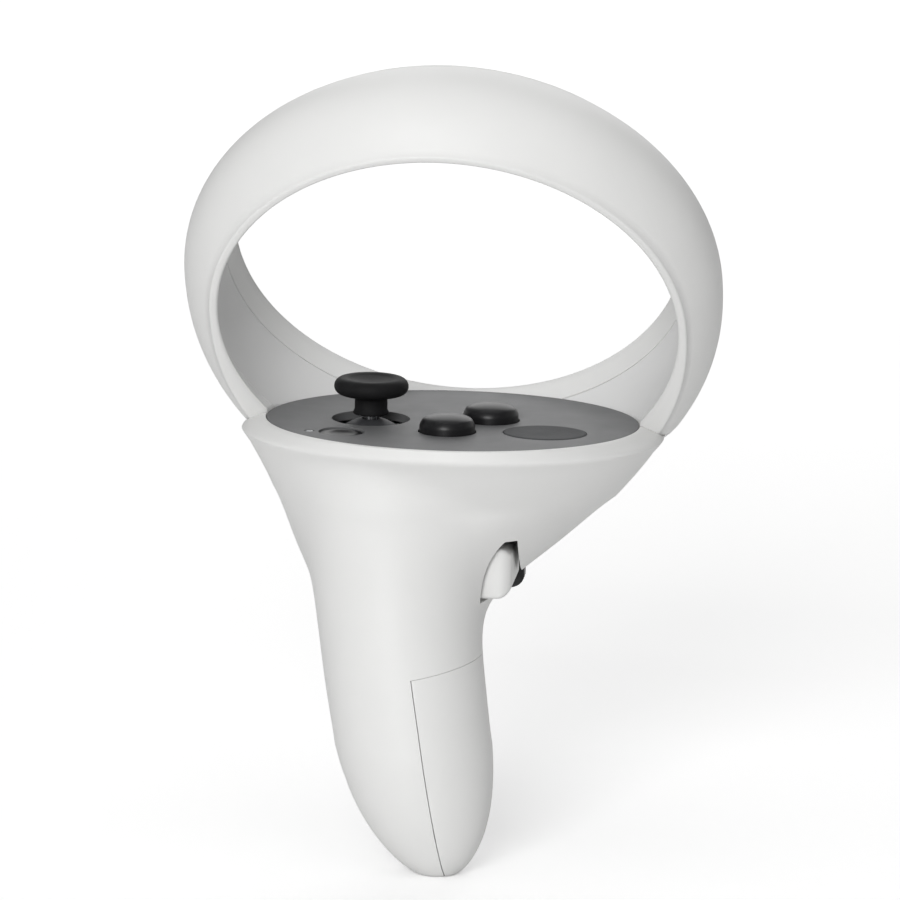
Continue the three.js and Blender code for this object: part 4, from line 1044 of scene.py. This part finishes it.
@dataclass
class Casing:
    """The one-piece shell of head and handle, its battery door and the lanyard bar."""

    shop: Workshop
    door_depth: float = 42.0
    door_x: float = -3.7
    door_axis: Point = (0.17119, 0.95664)
    door_gap: float = 0.14
    door_edge: float = 0.15
    sides: int = 144
    body_from: float = 4.4
    body_to: float = 62.0
    smoothed_from: float = 1.2
    smoothed_short: float = 8.0
    smoothing: int = 4
    blending: int = 60
    blended: Point = (-56.0, -13.0)
    edge: float = 0.35
    slot_width: float = 5.0
    slot_offset: float = 3.2
    slot_height: float = 5.0
    slot_depth: float = 69.0
    bar_radius: float = 0.65
    bar_end: float = 1.2
    bar_edge: float = 0.2
    bar_sink: float = 1.05
    bar_room: float = 2.4
    well: Sequence[Point] = (
        (8.2, -9.8), (8.2, -37), (34, -44), (34, -14.2), (23.4, -14.2), (20.5, -12.4), (18.6, -9.8))
    well_left: float = -10.6
    well_right: float = 12.6
    pocket_low: Sequence[float] = (-0.2, -15.2, -30.8)
    pocket_high: Sequence[float] = (13.4, 5.6, -19.2)
    arm_room_low: Sequence[float] = (-2.4, -0.6, -27.0)
    arm_room_high: Sequence[float] = (5.5, 6.0, -23.0)

    def depths(self, top: float, end: float, inset: float) -> list[float]:
        """Depths of a loft's rings, closer together at the collar and at the round end."""
        form = self.shop.form
        collar = [] if top > form.collar_depth else [top, 0.35, 0.8, 1.3, 1.8, form.seam_depth - 0.02,
                                                     form.seam_depth + 0.02, 2.8, 3.6]
        body = spread(self.body_from if collar else top, self.body_to, 50)
        reach = end - inset - self.body_to
        tail = [self.body_to + reach * math.sin(math.radians(a)) for a in spread(6, 88, 16)]
        return [*collar, *body, *tail]

    def outer(self) -> BMesh:
        """The full outer form, smoothed below the collar."""
        form = self.shop.form
        bm = form.loft(self.depths(0, form.handle_end, 0), self.sides, 0)
        low, high = -form.handle_end + self.smoothed_short, -form.seam_depth - self.smoothed_from
        self.smooth(bm, low, high, self.smoothing)
        self.smooth(bm, *self.blended, self.blending)
        return bm

    def smooth(self, bm: BMesh, low: float, high: float, times: int) -> None:
        """Evens out the form between two heights, without moving anything up or down."""
        soft = [vert for vert in bm.verts if low < vert.co.z < high]
        for _ in range(times):
            bmesh.ops.smooth_vert(bm, verts=soft, factor=0.5, use_axis_x=True, use_axis_y=True,
                                  use_axis_z=False)

    def inner(self) -> BMesh:
        """The form of the hollow inside."""
        form = self.shop.form
        depths = self.depths(form.ledge_bottom, form.handle_end, form.wall + 1)
        bm = form.loft(depths, self.sides // 2, form.wall)
        self.smooth(bm, *self.blended, self.blending)
        return bm

    def door_space(self, margin: float) -> BMesh:
        """The space right of the door's seam and below its top edge, widened by a margin."""
        bm = box_between((-margin, -HIGH / 2, -HIGH), (HIGH, HIGH / 2, margin / 2))
        return moved(bm, self.door_place())

    def door_place(self) -> Matrix:
        """Gives the matrix from the door's frame, with its top corner at 0, to the plate's."""
        lean = math.atan2(self.door_axis[0], self.door_axis[1])
        return Matrix.Translation((self.door_x, 0, -self.door_depth)) @ Matrix.Rotation(-lean, 4, "Y")

    def ring_space(self) -> BMesh:
        """Everything behind the ring's near rim and above the seam."""
        form = self.shop.form
        behind = box_between((-HIGH / 2, -HAIRLINE, -HIGH / 2), (HIGH / 2, HIGH, HIGH / 2))
        moved(behind, form.ring_place())
        above = box_between((-HIGH, -HIGH, -form.seam_depth - HAIRLINE * 2), (HIGH, HIGH, HIGH))
        return carve(behind, [above], Carve.KEEP)

    def lanyard_slot(self) -> BMesh:
        """The slot at the foot of the handle, across which the bar lies."""
        left, right = self.bar_ends()
        x, y = (left.x + right.x) / 2, (left.y + right.y) / 2
        half, tall = self.slot_width / 2, self.slot_height / 2
        low = (x - half, y - self.bar_room, -self.slot_depth - tall)
        return box_between(low, (x + half, HIGH, -self.slot_depth + tall))

    def bar_ends(self) -> tuple[Vector, Vector]:
        """Gives the ends of the bar's axis, inside the wall on either side of the slot."""
        section = self.shop.form.handle_section(self.slot_depth)
        ends = []
        for side in (-1, 1):
            x = section.x - self.slot_offset + side * (self.slot_width / 2 + self.bar_end)
            share = (x - section.x) / section.half_width
            surface = section.y + section.half_depth * math.sqrt(1 - share * share)
            ends.append(Vector((x, surface - self.bar_sink, -self.slot_depth)))
        return ends[0], ends[1]

    def build(self) -> None:
        """Makes the shell, the door and the bar."""
        shop, form = self.shop, self.shop.form
        hollow = [
            self.inner(),
            form.plate_solid(-form.ledge_inset, -form.ledge_bottom - 0.3, 1),
            form.plate_solid(0.16, -form.ledge_top, 1),
        ]
        tools = [
            *hollow,
            self.ring_space(),
            self.door_space(self.door_gap),
            side_profile(self.well, self.well_left, self.well_right),
            box_between(self.pocket_low, self.pocket_high),
            box_between(self.arm_room_low, self.arm_room_high),
            self.lanyard_slot(),
        ]
        shell = soften(carve(self.outer(), tools), self.edge, skip=self.at_seam)
        shop.hand_over(shell, "handle_and_head", shop.finishes.white, "casing", "white_plastic",
                       ["handle_shell"], sharp=50)
        door = carve(carve(self.outer(), [self.inner()]), [self.door_space(0)], Carve.KEEP)
        shop.hand_over(soften(door, self.door_edge, skip=self.at_seam), "battery_hatch",
                       shop.finishes.white, "battery_door", "white_plastic", ["battery_door"], sharp=50)
        self.build_bar()

    def at_seam(self, edge: BMEdge) -> bool:
        """Tells whether an edge lies along the ring's seam or the door's top edge, or deep inside."""
        form = self.shop.form
        level = all(abs(vert.co.z + form.seam_depth + HAIRLINE * 2) < 0.05 for vert in edge.verts)
        inside = all(vert.co.z < -form.ledge_bottom and self.deep_inside(vert.co) for vert in edge.verts)
        back = self.door_place().inverted()
        top = all(abs((back @ vert.co).z) < self.door_gap for vert in edge.verts)
        return level or inside or top

    def deep_inside(self, point: Vector) -> bool:
        """Tells whether a point lies well within the outer form."""
        x, y = self.shop.form.middle(-point.z)
        radius = math.hypot(point.x - x, point.y - y)
        angle = math.atan2(point.y - y, point.x - x)
        return radius < self.shop.form.outline(-point.z, angle) - 1.0

    def build_bar(self) -> None:
        """Makes the steel bar that a wrist cord is tied to."""
        shop = self.shop
        left, right = self.bar_ends()
        half = (right - left).length / 2
        radius, edge = self.bar_radius, self.bar_edge
        profile = [(0, -half), (radius - edge, -half), (radius, -half + edge),
                   (radius, half - edge), (radius - edge, half), (0, half)]
        bm = moved(turned(profile, 32), Matrix.Translation((left + right) / 2) @ upright_to(right - left))
        shop.hand_over(bm, "wrist_cord_bar", shop.finishes.steel, "casing", "steel", ["lanyard_bar"])


@dataclass(frozen=True)
class Spot:
    """Where a control stands on the faceplate."""

    x: float
    y: float

    def place(self, depth: float = 0.0) -> Matrix:
        """Gives the shift from the plate's centre to a depth below this spot."""
        return Matrix.Translation((self.x, self.y, -depth))


LOWER_BUTTON = Spot(0.0, -10.9)
UPPER_BUTTON = Spot(6.8, 1.1)
MENU_BUTTON = Spot(-18.8, -14.8)
STICK = Spot(-14.9, -1.6)
LIGHT = Spot(-24.6, -15.0)
REST = Spot(17.6, -9.1)


@dataclass
class Faceplate:
    """The grey plate, the thumb rest let into it and the small status light."""

    shop: Workshop
    stick_hole: float = 7.1
    button_hole: float = 5.27
    menu_hole: float = 4.1
    light_hole: float = 0.9
    light_gap: float = 0.1
    light_foot: float = -3.4
    rest_half_width: float = 7.5
    rest_half_depth: float = 6.5
    rest_pocket: float = 0.9
    rest_gap: float = 0.14
    nick: float = 0.5
    nick_x: float = -12.2
    nick_y: float = -26.3
    edge: float = 0.22

    def build(self) -> None:
        """Makes the plate, the pad and the light."""
        shop, form = self.shop, self.shop.form
        low = -form.plate_thick
        round_holes = (
            (STICK, self.stick_hole, 72),
            (LOWER_BUTTON, self.button_hole, 64),
            (UPPER_BUTTON, self.button_hole, 64),
            (MENU_BUTTON, self.menu_hole, 56),
            (LIGHT, self.light_hole, 24),
        )
        nick_left, nick_right = self.nick_x - self.nick / 2, self.nick_x + self.nick / 2
        holes = [
            *(rod(Axis.Z, (spot.x, spot.y, 0), radius, low - 1, 1, sides)
              for spot, radius, sides in round_holes),
            oval(REST.x, REST.y, self.rest_half_width + self.rest_gap, self.rest_half_depth + self.rest_gap,
                 -self.rest_pocket, 1),
            box_between((nick_left, -HIGH, low - 1), (nick_right, self.nick_y, 1)),
        ]
        plate = soften(carve(form.plate_solid(0, low, 0), holes), self.edge, segments=3)
        shop.hand_over(plate, "control_plate", shop.finishes.grey, "casing", "grey_plastic",
                       ["faceplate"], weighted=True)
        self.build_pad()
        self.build_light()

    def build_pad(self) -> None:
        """Makes the oval thumb rest, slightly dished."""
        shop = self.shop
        foot = -self.rest_pocket + shop.form.gap
        profile = [(0, foot), (0.985, foot), (1, foot + 0.1), (1, -0.03), (0.985, 0.06), (0.955, 0.1),
                   (0.88, 0.09), (0.7, 0.03), (0.4, -0.04), (0, -0.06)]
        bm = turned(profile, 96)
        moved(bm, REST.place() @ Matrix.Diagonal((self.rest_half_width, self.rest_half_depth, 1, 1)))
        shop.hand_over(bm, "thumb_rest", shop.finishes.rest, "casing", "rest_plastic", ["thumb_rest_pad"])

    def build_light(self) -> None:
        """Makes the status light's pipe with its domed end."""
        shop = self.shop
        radius, foot = self.light_hole - self.light_gap, self.light_foot
        profile = [(0, foot), (radius, foot), (radius, -0.2), (radius * 0.8, -0.08), (radius * 0.4, -0.05),
                   (0, -0.04)]
        shop.hand_over(moved(turned(profile, 28), LIGHT.place()), "status_light_pipe", shop.finishes.clear,
                       "casing", "clear_plastic", ["status_light"])


@dataclass
class PushButtons:
    """The two domed buttons, the flat menu button and the rubber domes under all three."""

    shop: Workshop
    radius: float = 5.05
    side: float = 1.75
    crown: float = 1.45
    rounding: float = 0.55
    flange: float = 1.0
    flange_thick: float = 0.9
    stem_foot: float = -3.6
    stem: float = 1.6
    menu_radius: float = 3.9
    menu_flange: float = 0.8
    menu_stem: float = 1.4
    menu_sunk: float = 0.25
    dome_foot: float = -5.7
    dome_gap: float = 0.3

    def shoulder(self, radius: float, flange: float, stem: float) -> list[Point]:
        """Profile of a button's stem and flange, up to its side."""
        top = -self.shop.form.plate_thick - self.shop.form.gap
        under = top - self.flange_thick
        return [(0, self.stem_foot), (stem, self.stem_foot), (stem, under), (radius + flange, under),
                (radius + flange, top), (radius, top)]

    def domed(self) -> BMesh:
        """A button with a rounded shoulder and a shallow crown."""
        radius, side, edge, rise = self.radius, self.side, self.rounding, self.crown
        crown = [(radius * math.cos(t) * 0.94, side - 0.05 + (rise + 0.05) * math.sin(t) ** 0.92)
                 for t in (math.radians(a) for a in spread(14, 86, 12))]
        flank = [(radius, side - edge - 0.25), (radius - 0.03, side - edge),
                 (radius - 0.12, side - edge * 0.45)]
        foot = self.shoulder(radius, self.flange, self.stem)
        return turned([*foot, *flank, *crown, (0, side + rise)], 72)

    def build(self) -> None:
        """Makes the buttons and their domes."""
        shop = self.shop
        for name, spot in (("lower_button", LOWER_BUTTON), ("upper_button", UPPER_BUTTON)):
            shop.hand_over(moved(self.domed(), spot.place()), f"{name}_cap", shop.finishes.black, name,
                           "black_plastic", [name], sharp=55)
        self.build_menu()
        for name, spot in (("lower_button_dome", LOWER_BUTTON), ("upper_button_dome", UPPER_BUTTON),
                           ("menu_button_dome", MENU_BUTTON)):
            self.build_dome(name, spot)

    def build_menu(self) -> None:
        """Makes the flat menu button with a shallow thumb mark."""
        shop = self.shop
        radius, top = self.menu_radius, -self.menu_sunk
        profile = [*self.shoulder(radius, self.menu_flange, self.menu_stem), (radius, top - 0.2),
                   (radius - 0.06, top - 0.05), (radius - 0.2, top), (radius * 0.62, top),
                   (radius * 0.52, top - 0.14), (0, top - 0.2)]
        shop.hand_over(moved(turned(profile, 64), MENU_BUTTON.place()), "menu_button_cap",
                       shop.finishes.black, "menu_button", "black_plastic", ["menu_button"])

    def build_dome(self, name: str, spot: Spot) -> None:
        """Makes a rubber dome with a thin collapsing wall."""
        foot, top = self.dome_foot, self.stem_foot - self.dome_gap
        profile = [(0, foot), (2.6, foot), (2.6, foot + 0.3), (2.1, foot + 0.45), (1.75, top - 0.45),
                   (1.45, top - 0.08), (1.2, top), (0, top)]
        self.shop.hand_over(moved(turned(profile, 40), spot.place()), f"{name}_rubber",
                            self.shop.finishes.rubber, "casing", "rubber", [name])


@dataclass
class Thumbstick:
    """The stick's cap with its neck, and the domed skirt that closes its hole."""

    shop: Workshop
    cap_radius: float = 6.8
    cap_thick: float = 3.3
    cap_middle: float = 6.0
    waist: float = 3.0
    foot_radius: float = 3.3
    foot: float = 0.9
    bore: float = 1.5
    bore_past_rim: float = 1.4
    pivot_depth: float = 8.0
    skirt_radius: float = 8.2
    skirt_thick: float = 0.8
    skirt_to: float = 38.0

    def cap(self) -> BMesh:
        """The cap: a flared foot, a waisted neck, a round rim and a dished top with a fine step."""
        half = self.cap_thick / 2
        low, high = self.cap_middle - half, self.cap_middle + half
        edge = half * 0.94
        rim = arc((self.cap_radius - edge, self.cap_middle), edge, -88, 80, 14)
        under = [(self.waist, low - 0.45), (self.waist + 0.25, low - 0.12), (self.waist + 0.9, low + 0.04)]
        top = [(self.cap_radius * 0.66, high - 0.16), (self.cap_radius * 0.6, high - 0.34),
               (self.cap_radius * 0.54, high - 0.42), (self.cap_radius * 0.3, high - 0.62), (0, high - 0.7)]
        flare = [(self.foot_radius, self.foot + 0.25), (self.foot_radius - 0.3, self.foot + 0.9),
                 (self.waist, self.foot + 1.7), (self.waist - 0.03, low - 0.9)]
        return turned([(0, self.foot), (self.foot_radius - 0.15, self.foot), *flare, *under, *rim, *top], 96)

    def skirt(self) -> BMesh:
        """A slice of a thin ball about the stick's pivot, with a hole for the shaft."""
        outer, inner = self.skirt_radius, self.skirt_radius - self.skirt_thick
        start = math.degrees(math.asin(self.bore / inner))
        inside = arc((0, 0), inner, 90 - start, 90 - self.skirt_to, 12)
        outside = arc((0, 0), outer, 90 - self.skirt_to, 90 - start, 12)
        return turned([*inside, *outside], 96, closed=True)

    def build(self) -> None:
        """Makes the cap and the skirt, and dresses the module under them."""
        shop = self.shop
        bore_top = self.cap_middle - self.cap_thick / 2 + self.bore_past_rim
        cap = carve(self.cap(), [rod(Axis.Z, (0, 0, 0), self.bore, -1, bore_top, 40)])
        shop.hand_over(moved(cap, STICK.place()), "stick_grip", shop.finishes.stick, "stick_top",
                       "stick_rubber", ["stick_cap"], sharp=60)
        shop.hand_over(moved(self.skirt(), STICK.place(self.pivot_depth)), "stick_dust_skirt",
                       shop.finishes.frame, "stick_top", "black_plastic", ["stick_skirt"])
        shop.dress(shop.finishes.steel, ["stick_housing", "stick_shaft"])
        shop.dress(shop.finishes.black, ["stick_gimbal", "stick_arch"])


@dataclass
class IndexTrigger:
    """The curved index trigger on its hub, with its spring."""

    shop: Workshop
    y: float = 14.0
    depth: float = 10.5
    left: float = -10.0
    right: float = 12.0
    hub_radius: float = 3.0
    hub_left: float = -3.0
    hub_right: float = 5.0
    bore: float = 1.06
    corner: float = 3.2
    edge: float = 1.0
    face: Sequence[Point] = (
        (22.4, -15.0), (21.1, -17.0), (20.1, -19.6), (19.4, -23.5),
        (19.5, -26.0), (20.2, -28.8), (21.8, -32.4), (23.4, -34.6))
    back: Sequence[Point] = (
        (22.9, -35.4), (22.1, -35.9), (21.2, -35.8), (19.3, -33.6),
        (17.5, -31.0), (15.4, -26.5), (13.4, -21.0), (12.2, -17.0))
    web: Sequence[Point] = ((20.4, -15.8), (18.8, -19.2), (13.4, -19.2))
    web_edge: float = 0.35
    magnet_half: float = 1.4
    magnet_below: Point = (7.2, 4.4)
    magnet_in: float = 1.6
    coil: Coil = Coil(3.2, 1.75, 0.3, 3.4, 1.75)
    coil_gap: float = 0.3

    def blade(self) -> BMesh:
        """The finger blade, with rounded lower corners and soft edges all round."""
        bm = side_profile([*self.face, *self.back], self.left, self.right)
        cutters = [self.corner_cutter(side) for side in (-1, 1)]
        return soften(carve(bm, cutters), self.edge, over=50, segments=4, weld=0.02)

    def corner_cutter(self, side: int) -> BMesh:
        """A block that rounds one lower corner of the blade, seen from the front."""
        edge = self.right if side > 0 else self.left
        low = self.back[0][1] - 0.2
        centre = (edge - side * self.corner, low + self.corner)
        start, end = (0, -90) if side > 0 else (180, 270)
        bend = arc(centre, self.corner, start, end, 9)
        outline = [*bend, (bend[-1][0], low - 4), (edge + side * 4, low - 4), (edge + side * 4, bend[0][1])]
        return pushed([Vector((x, -HIGH / 4, z)) for x, z in outline], Vector((0, HIGH / 2, 0)))

    def neck(self) -> BMesh:
        """The hub and the web that joins it to the blade."""
        hub = arc((self.y, -self.depth), self.hub_radius, -150, -390, 25)
        return soften(side_profile([*hub, *self.web], self.hub_left, self.hub_right), self.web_edge, over=50)

    def build(self) -> None:
        """Makes the trigger and its spring, and dresses the small parts round it."""
        shop = self.shop
        bore = rod(Axis.X, (0, self.y, -self.depth), self.bore, self.left, self.right, 40)
        lowest, highest = self.magnet_below
        low = (self.hub_left - 1, self.y - self.magnet_half, -self.depth - lowest)
        high = (self.hub_left + self.magnet_in, self.y + self.magnet_half, -self.depth - highest)
        joined = carve(self.blade(), [self.neck()], Carve.JOIN)
        body = carve(joined, [bore, box_between(low, high)])
        shop.hand_over(body, "index_trigger", shop.finishes.black, "trigger", "black_plastic", ["trigger"],
                       sharp=55)
        coil = lying_coil(self.coil, (self.hub_right + self.coil_gap, self.y, -self.depth))
        shop.hand_over(coil, "trigger_return_spring", shop.finishes.steel, "casing", "steel",
                       ["trigger_spring"])
        shop.dress(shop.finishes.steel, ["trigger_pin", "trigger_magnet"])
        shop.dress(shop.finishes.board, ["trigger_sensor_board"])


@dataclass
class GripPaddle:
    """The paddle that the middle finger squeezes, with its arm, spring and bracket."""

    shop: Workshop
    near: float = -14.0
    far: float = 5.0
    inner: float = 3.9
    outer: float = 12.4
    top: float = 19.8
    bottom: float = 30.2
    corner: float = 2.6
    slope: float = 0.1
    rounding: float = 0.8
    lowered: float = 0.15
    arm_x: float = 1.6
    arm_y: float = 2.6
    arm_half: Sequence[float] = (1.9, 2, 1.3)
    arm_edge: float = 0.3
    bore: float = 0.96
    spring_x: float = 0.2
    spring_y: float = -8.0
    coil: Coil = Coil(4.5, 1.9, 0.3, 3.3, 1.9)

    def block(self) -> BMesh:
        """The rounded block, its top falling away to the right."""
        high = -self.top - self.lowered
        bm = box_between((self.inner, self.near, -self.bottom), (self.outer, self.far, high))
        for vert in bm.verts:
            if vert.co.z > -self.top - 1:
                vert.co.z -= (vert.co.x - self.inner) * self.slope
        outer = [edge for edge in bm.edges if all(vert.co.x > self.outer - 0.01 for vert in edge.verts)]
        bmesh.ops.bevel(bm, geom=outer, offset=self.corner, offset_type="OFFSET", segments=8, profile=0.5,
                        affect="EDGES", clamp_overlap=True, material=-1)
        return soften(bm, self.rounding, over=50, segments=5, weld=0.01)

    def build(self) -> None:
        """Makes the paddle and its spring, and dresses the parts that carry them."""
        shop = self.shop
        middle = -(self.top + self.bottom) / 2
        half_x, half_y, half_z = self.arm_half
        arm = box_between((self.arm_x - half_x, self.arm_y - half_y, middle - half_z),
                          (self.inner + 1, self.arm_y + half_y, middle + half_z))
        bore = rod(Axis.Z, (self.arm_x, self.arm_y, middle), self.bore, -4, 4, 32)
        paddle = carve(carve(self.block(), [soften(arm, self.arm_edge)], Carve.JOIN), [bore])
        shop.hand_over(paddle, "grip_paddle_button", shop.finishes.white, "grip_paddle", "white_plastic",
                       ["grip_button"], sharp=50)
        coil = lying_coil(self.coil, (self.spring_x, self.spring_y, middle))
        shop.hand_over(coil, "grip_return_spring", shop.finishes.steel, "casing", "steel", ["grip_spring"])
        shop.dress(shop.finishes.steel, ["grip_pin"])
        shop.dress(shop.finishes.frame, ["grip_bracket"])


@dataclass
class PowerSupply:
    """The dry cell, its tray and its two contacts."""

    shop: Workshop
    radius: float = 7.25
    length: float = 50.5
    nub: float = 1.3
    bare_within: float = 6.7
    coil: Coil = Coil(3.5, 2.4, 0.35, 2.6, 4.6)
    coil_below: float = 2.9
    foot: Sequence[float] = (-1.4, -23.1, -69.7)
    axis: Sequence[float] = (-0.17119, 0.23564, 0.95664)

    def cell_place(self) -> Matrix:
        """Gives the matrix from the cell's own frame, with its foot at 0, to the plate's."""
        return Matrix.Translation(self.foot) @ upright_to(Vector(self.axis))

    def cell(self) -> BMesh:
        """The can with crimped ends, marked with how far along and how bare each point is."""
        radius, body = self.radius, self.length - self.nub
        profile = [
            (0, 0.25), (4.6, 0.25), (4.8, 0), (5.4, 0), (5.6, 0.5), (6.6, 0.6), (6.9, 0.1), (radius, 0.35),
            (radius, body - 0.35), (6.9, body), (6.5, body - 0.15), (6.2, body - 0.6), (3.1, body - 0.6),
            (2.75, body - 0.5), (2.75, self.length - 0.3), (2.45, self.length), (0, self.length)]
        bm = turned(profile, 72)
        along = bm.verts.layers.float.new(ALONG_CELL)
        bare = bm.verts.layers.float.new(BARE_STEEL)
        for vert in bm.verts:
            across = math.hypot(vert.co.x, vert.co.y)
            vert[along] = clamp(vert.co.z / body)
            vert[bare] = 1.0 if across < self.bare_within else 0.0
        lines = [edge for edge in bm.edges if abs(edge.verts[0].co.z - edge.verts[1].co.z) > body / 2]
        bmesh.ops.subdivide_edges(bm, edges=lines, cuts=12, use_grid_fill=True)
        return bm

    def build(self) -> None:
        """Makes the cell and its foot spring, and dresses the tray and the top contact."""
        shop = self.shop
        shop.hand_over(moved(self.cell(), self.cell_place()), "dry_cell", shop.finishes.cell, "casing",
                       "battery_label", ["aa_battery"])
        coil = moved(wire_coil(self.coil), Matrix.Translation((0, 0, -self.coil_below)))
        shop.hand_over(moved(coil, self.cell_place()), "foot_contact_spring", shop.finishes.steel, "casing",
                       "steel", ["negative_spring"])
        shop.dress(shop.finishes.frame, ["battery_tray"])
        shop.dress(shop.finishes.gold, ["positive_contact"])


@dataclass
class Electronics:
    """The circuit board, the frame that carries it, the vibration motor and the screws."""

    shop: Workshop
    screws: Sequence[str] = (
        "board_screw_1", "board_screw_2", "board_screw_3", "frame_screw_1", "frame_screw_2")

    def build(self) -> None:
        """Dresses the inner parts, whose CAD shapes are kept."""
        finishes = self.shop.finishes
        self.shop.dress(finishes.board, ["main_circuit_board"])
        self.shop.dress(finishes.frame, ["inner_frame"])
        self.shop.dress(finishes.steel, ["haptic_motor", *self.screws])
        self.shop.dress(finishes.rubber, ["haptic_cradle"])


# ---- Studio -------------------------------------------------------------------------------------


@dataclass(frozen=True)
class Lamp:
    """A soft square light that looks at the object.

    Its azimuth and elevation are in degrees, its size and distance in metres and its power in watts;
    gloss is how strongly it shows in shiny surfaces.
    """

    name: str
    azimuth: float
    elevation: float
    size: float
    distance: float
    power: float
    gloss: float


@dataclass
class Studio:
    """A plain pale floor, soft lights and the camera."""

    azimuth: float = 5.5
    elevation: float = 11.5
    distance: float = 1.5
    view_width: float = 0.1636
    sensor: float = 36.0
    floor_glow: float = 0.32
    surroundings: float = 0.3
    floor_radius: float = 9.0
    floor_below: float = 0.0005
    lamps: Sequence[Lamp] = (
        Lamp("front", -9, 22, 1.0, 2.4, 32.0, 0.2),
        Lamp("top", -20, 82, 0.9, 0.9, 1.7, 0.6),
        Lamp("back", 178, 30, 1.0, 1.2, 4.4, 1.0),
    )

    def direction(self, azimuth: float, elevation: float) -> Vector:
        """Gives the unit vector from the object to a point round it; azimuth 0 is in front."""
        a, e = math.radians(azimuth), math.radians(elevation)
        return Vector((math.sin(a) * math.cos(e), -math.cos(a) * math.cos(e), math.sin(e)))

    def build(self) -> None:
        """Makes the stage, the lights and the camera."""
        low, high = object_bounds()
        centre = (low + high) / 2
        self.build_floor(low.z)
        for lamp in self.lamps:
            self.build_light(lamp, centre)
        self.build_world()
        self.build_camera(centre)

    def build_floor(self, height: float) -> None:
        """Makes a large pale disc just below the handle's foot."""
        bm = bmesh.new()
        bmesh.ops.create_circle(bm, cap_ends=True, segments=96, radius=self.floor_radius)
        moved(bm, Matrix.Translation((0, 0, height - self.floor_below)))
        floor = loose_object(bm, "floor")
        sheet = NodeSheet("floor_paper")
        fibre = sheet.noise(1.2, detail=4.0)
        sheet.use("Base Color", sheet.blend(sheet.range(fibre, 0, 1), (0.86, 0.86, 0.86), (0.88, 0.88, 0.88)))
        sheet.use("Roughness", sheet.range(fibre, 0.85, 0.95))
        sheet.set("Emission Color", (1, 1, 1, 1))
        seen = sheet.add("ShaderNodeLightPath").outputs["Is Camera Ray"]
        sheet.use("Emission Strength", sheet.range(seen, 0.0, self.floor_glow, (0.0, 1.0)))
        floor.data.materials.append(sheet.material)
        floor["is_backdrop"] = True

    def build_light(self, lamp: Lamp, centre: Vector) -> None:
        """Hangs a light.

        Args:
            lamp: What it is like.
            centre: What it looks at.
        """
        data = bpy.data.lights.new(lamp.name, "AREA")
        data.size = lamp.size
        data.energy = lamp.power
        data.specular_factor = lamp.gloss
        item = bpy.data.objects.new(lamp.name, data)
        back = self.direction(lamp.azimuth, lamp.elevation)
        item.location = centre + back * lamp.distance
        item.rotation_euler = back.to_track_quat("Z", "Y").to_euler()
        bpy.context.scene.collection.objects.link(item)

    def build_world(self) -> None:
        """Fills the surroundings with an even pale light."""
        world = bpy.data.worlds.new("studio")
        world.use_nodes = True
        world.node_tree.nodes["Background"].inputs["Color"].default_value = (1, 1, 1, 1)
        world.node_tree.nodes["Background"].inputs["Strength"].default_value = self.surroundings
        bpy.context.scene.world = world
        bpy.context.scene.view_settings.view_transform = "Standard"

    def build_camera(self, centre: Vector) -> None:
        """Places a long-lensed camera that keeps the object's X axis level in view."""
        data = bpy.data.cameras.new("camera")
        data.sensor_width = self.sensor
        data.lens = self.sensor * self.distance / self.view_width
        data.clip_start, data.clip_end = 0.01, 50
        camera = bpy.data.objects.new("camera", data)
        back = self.direction(self.azimuth, self.elevation)
        camera.location = centre + back * self.distance
        roll = math.sin(math.radians(self.azimuth)) * math.sin(math.radians(self.elevation))
        turn = (-back).to_track_quat("-Z", "Y").to_matrix().to_4x4() @ Matrix.Rotation(roll, 4, "Z")
        camera.rotation_euler = turn.to_euler()
        bpy.context.scene.collection.objects.link(camera)
        bpy.context.scene.camera = camera


def main() -> None:
    """Builds the sub-assemblies in order and the studio round them."""
    logging.basicConfig(level=logging.INFO, format="%(message)s")
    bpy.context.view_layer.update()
    Studio().build()
    shop = Workshop(Form(), Finishes())
    for assembly in (TrackingRing, Casing, Faceplate, PushButtons, Thumbstick, IndexTrigger, GripPaddle,
                     PowerSupply, Electronics):
        assembly(shop).build()
    LOG.info("%d pieces made", len(shop.made))


if __name__ == "__main__":
    main()
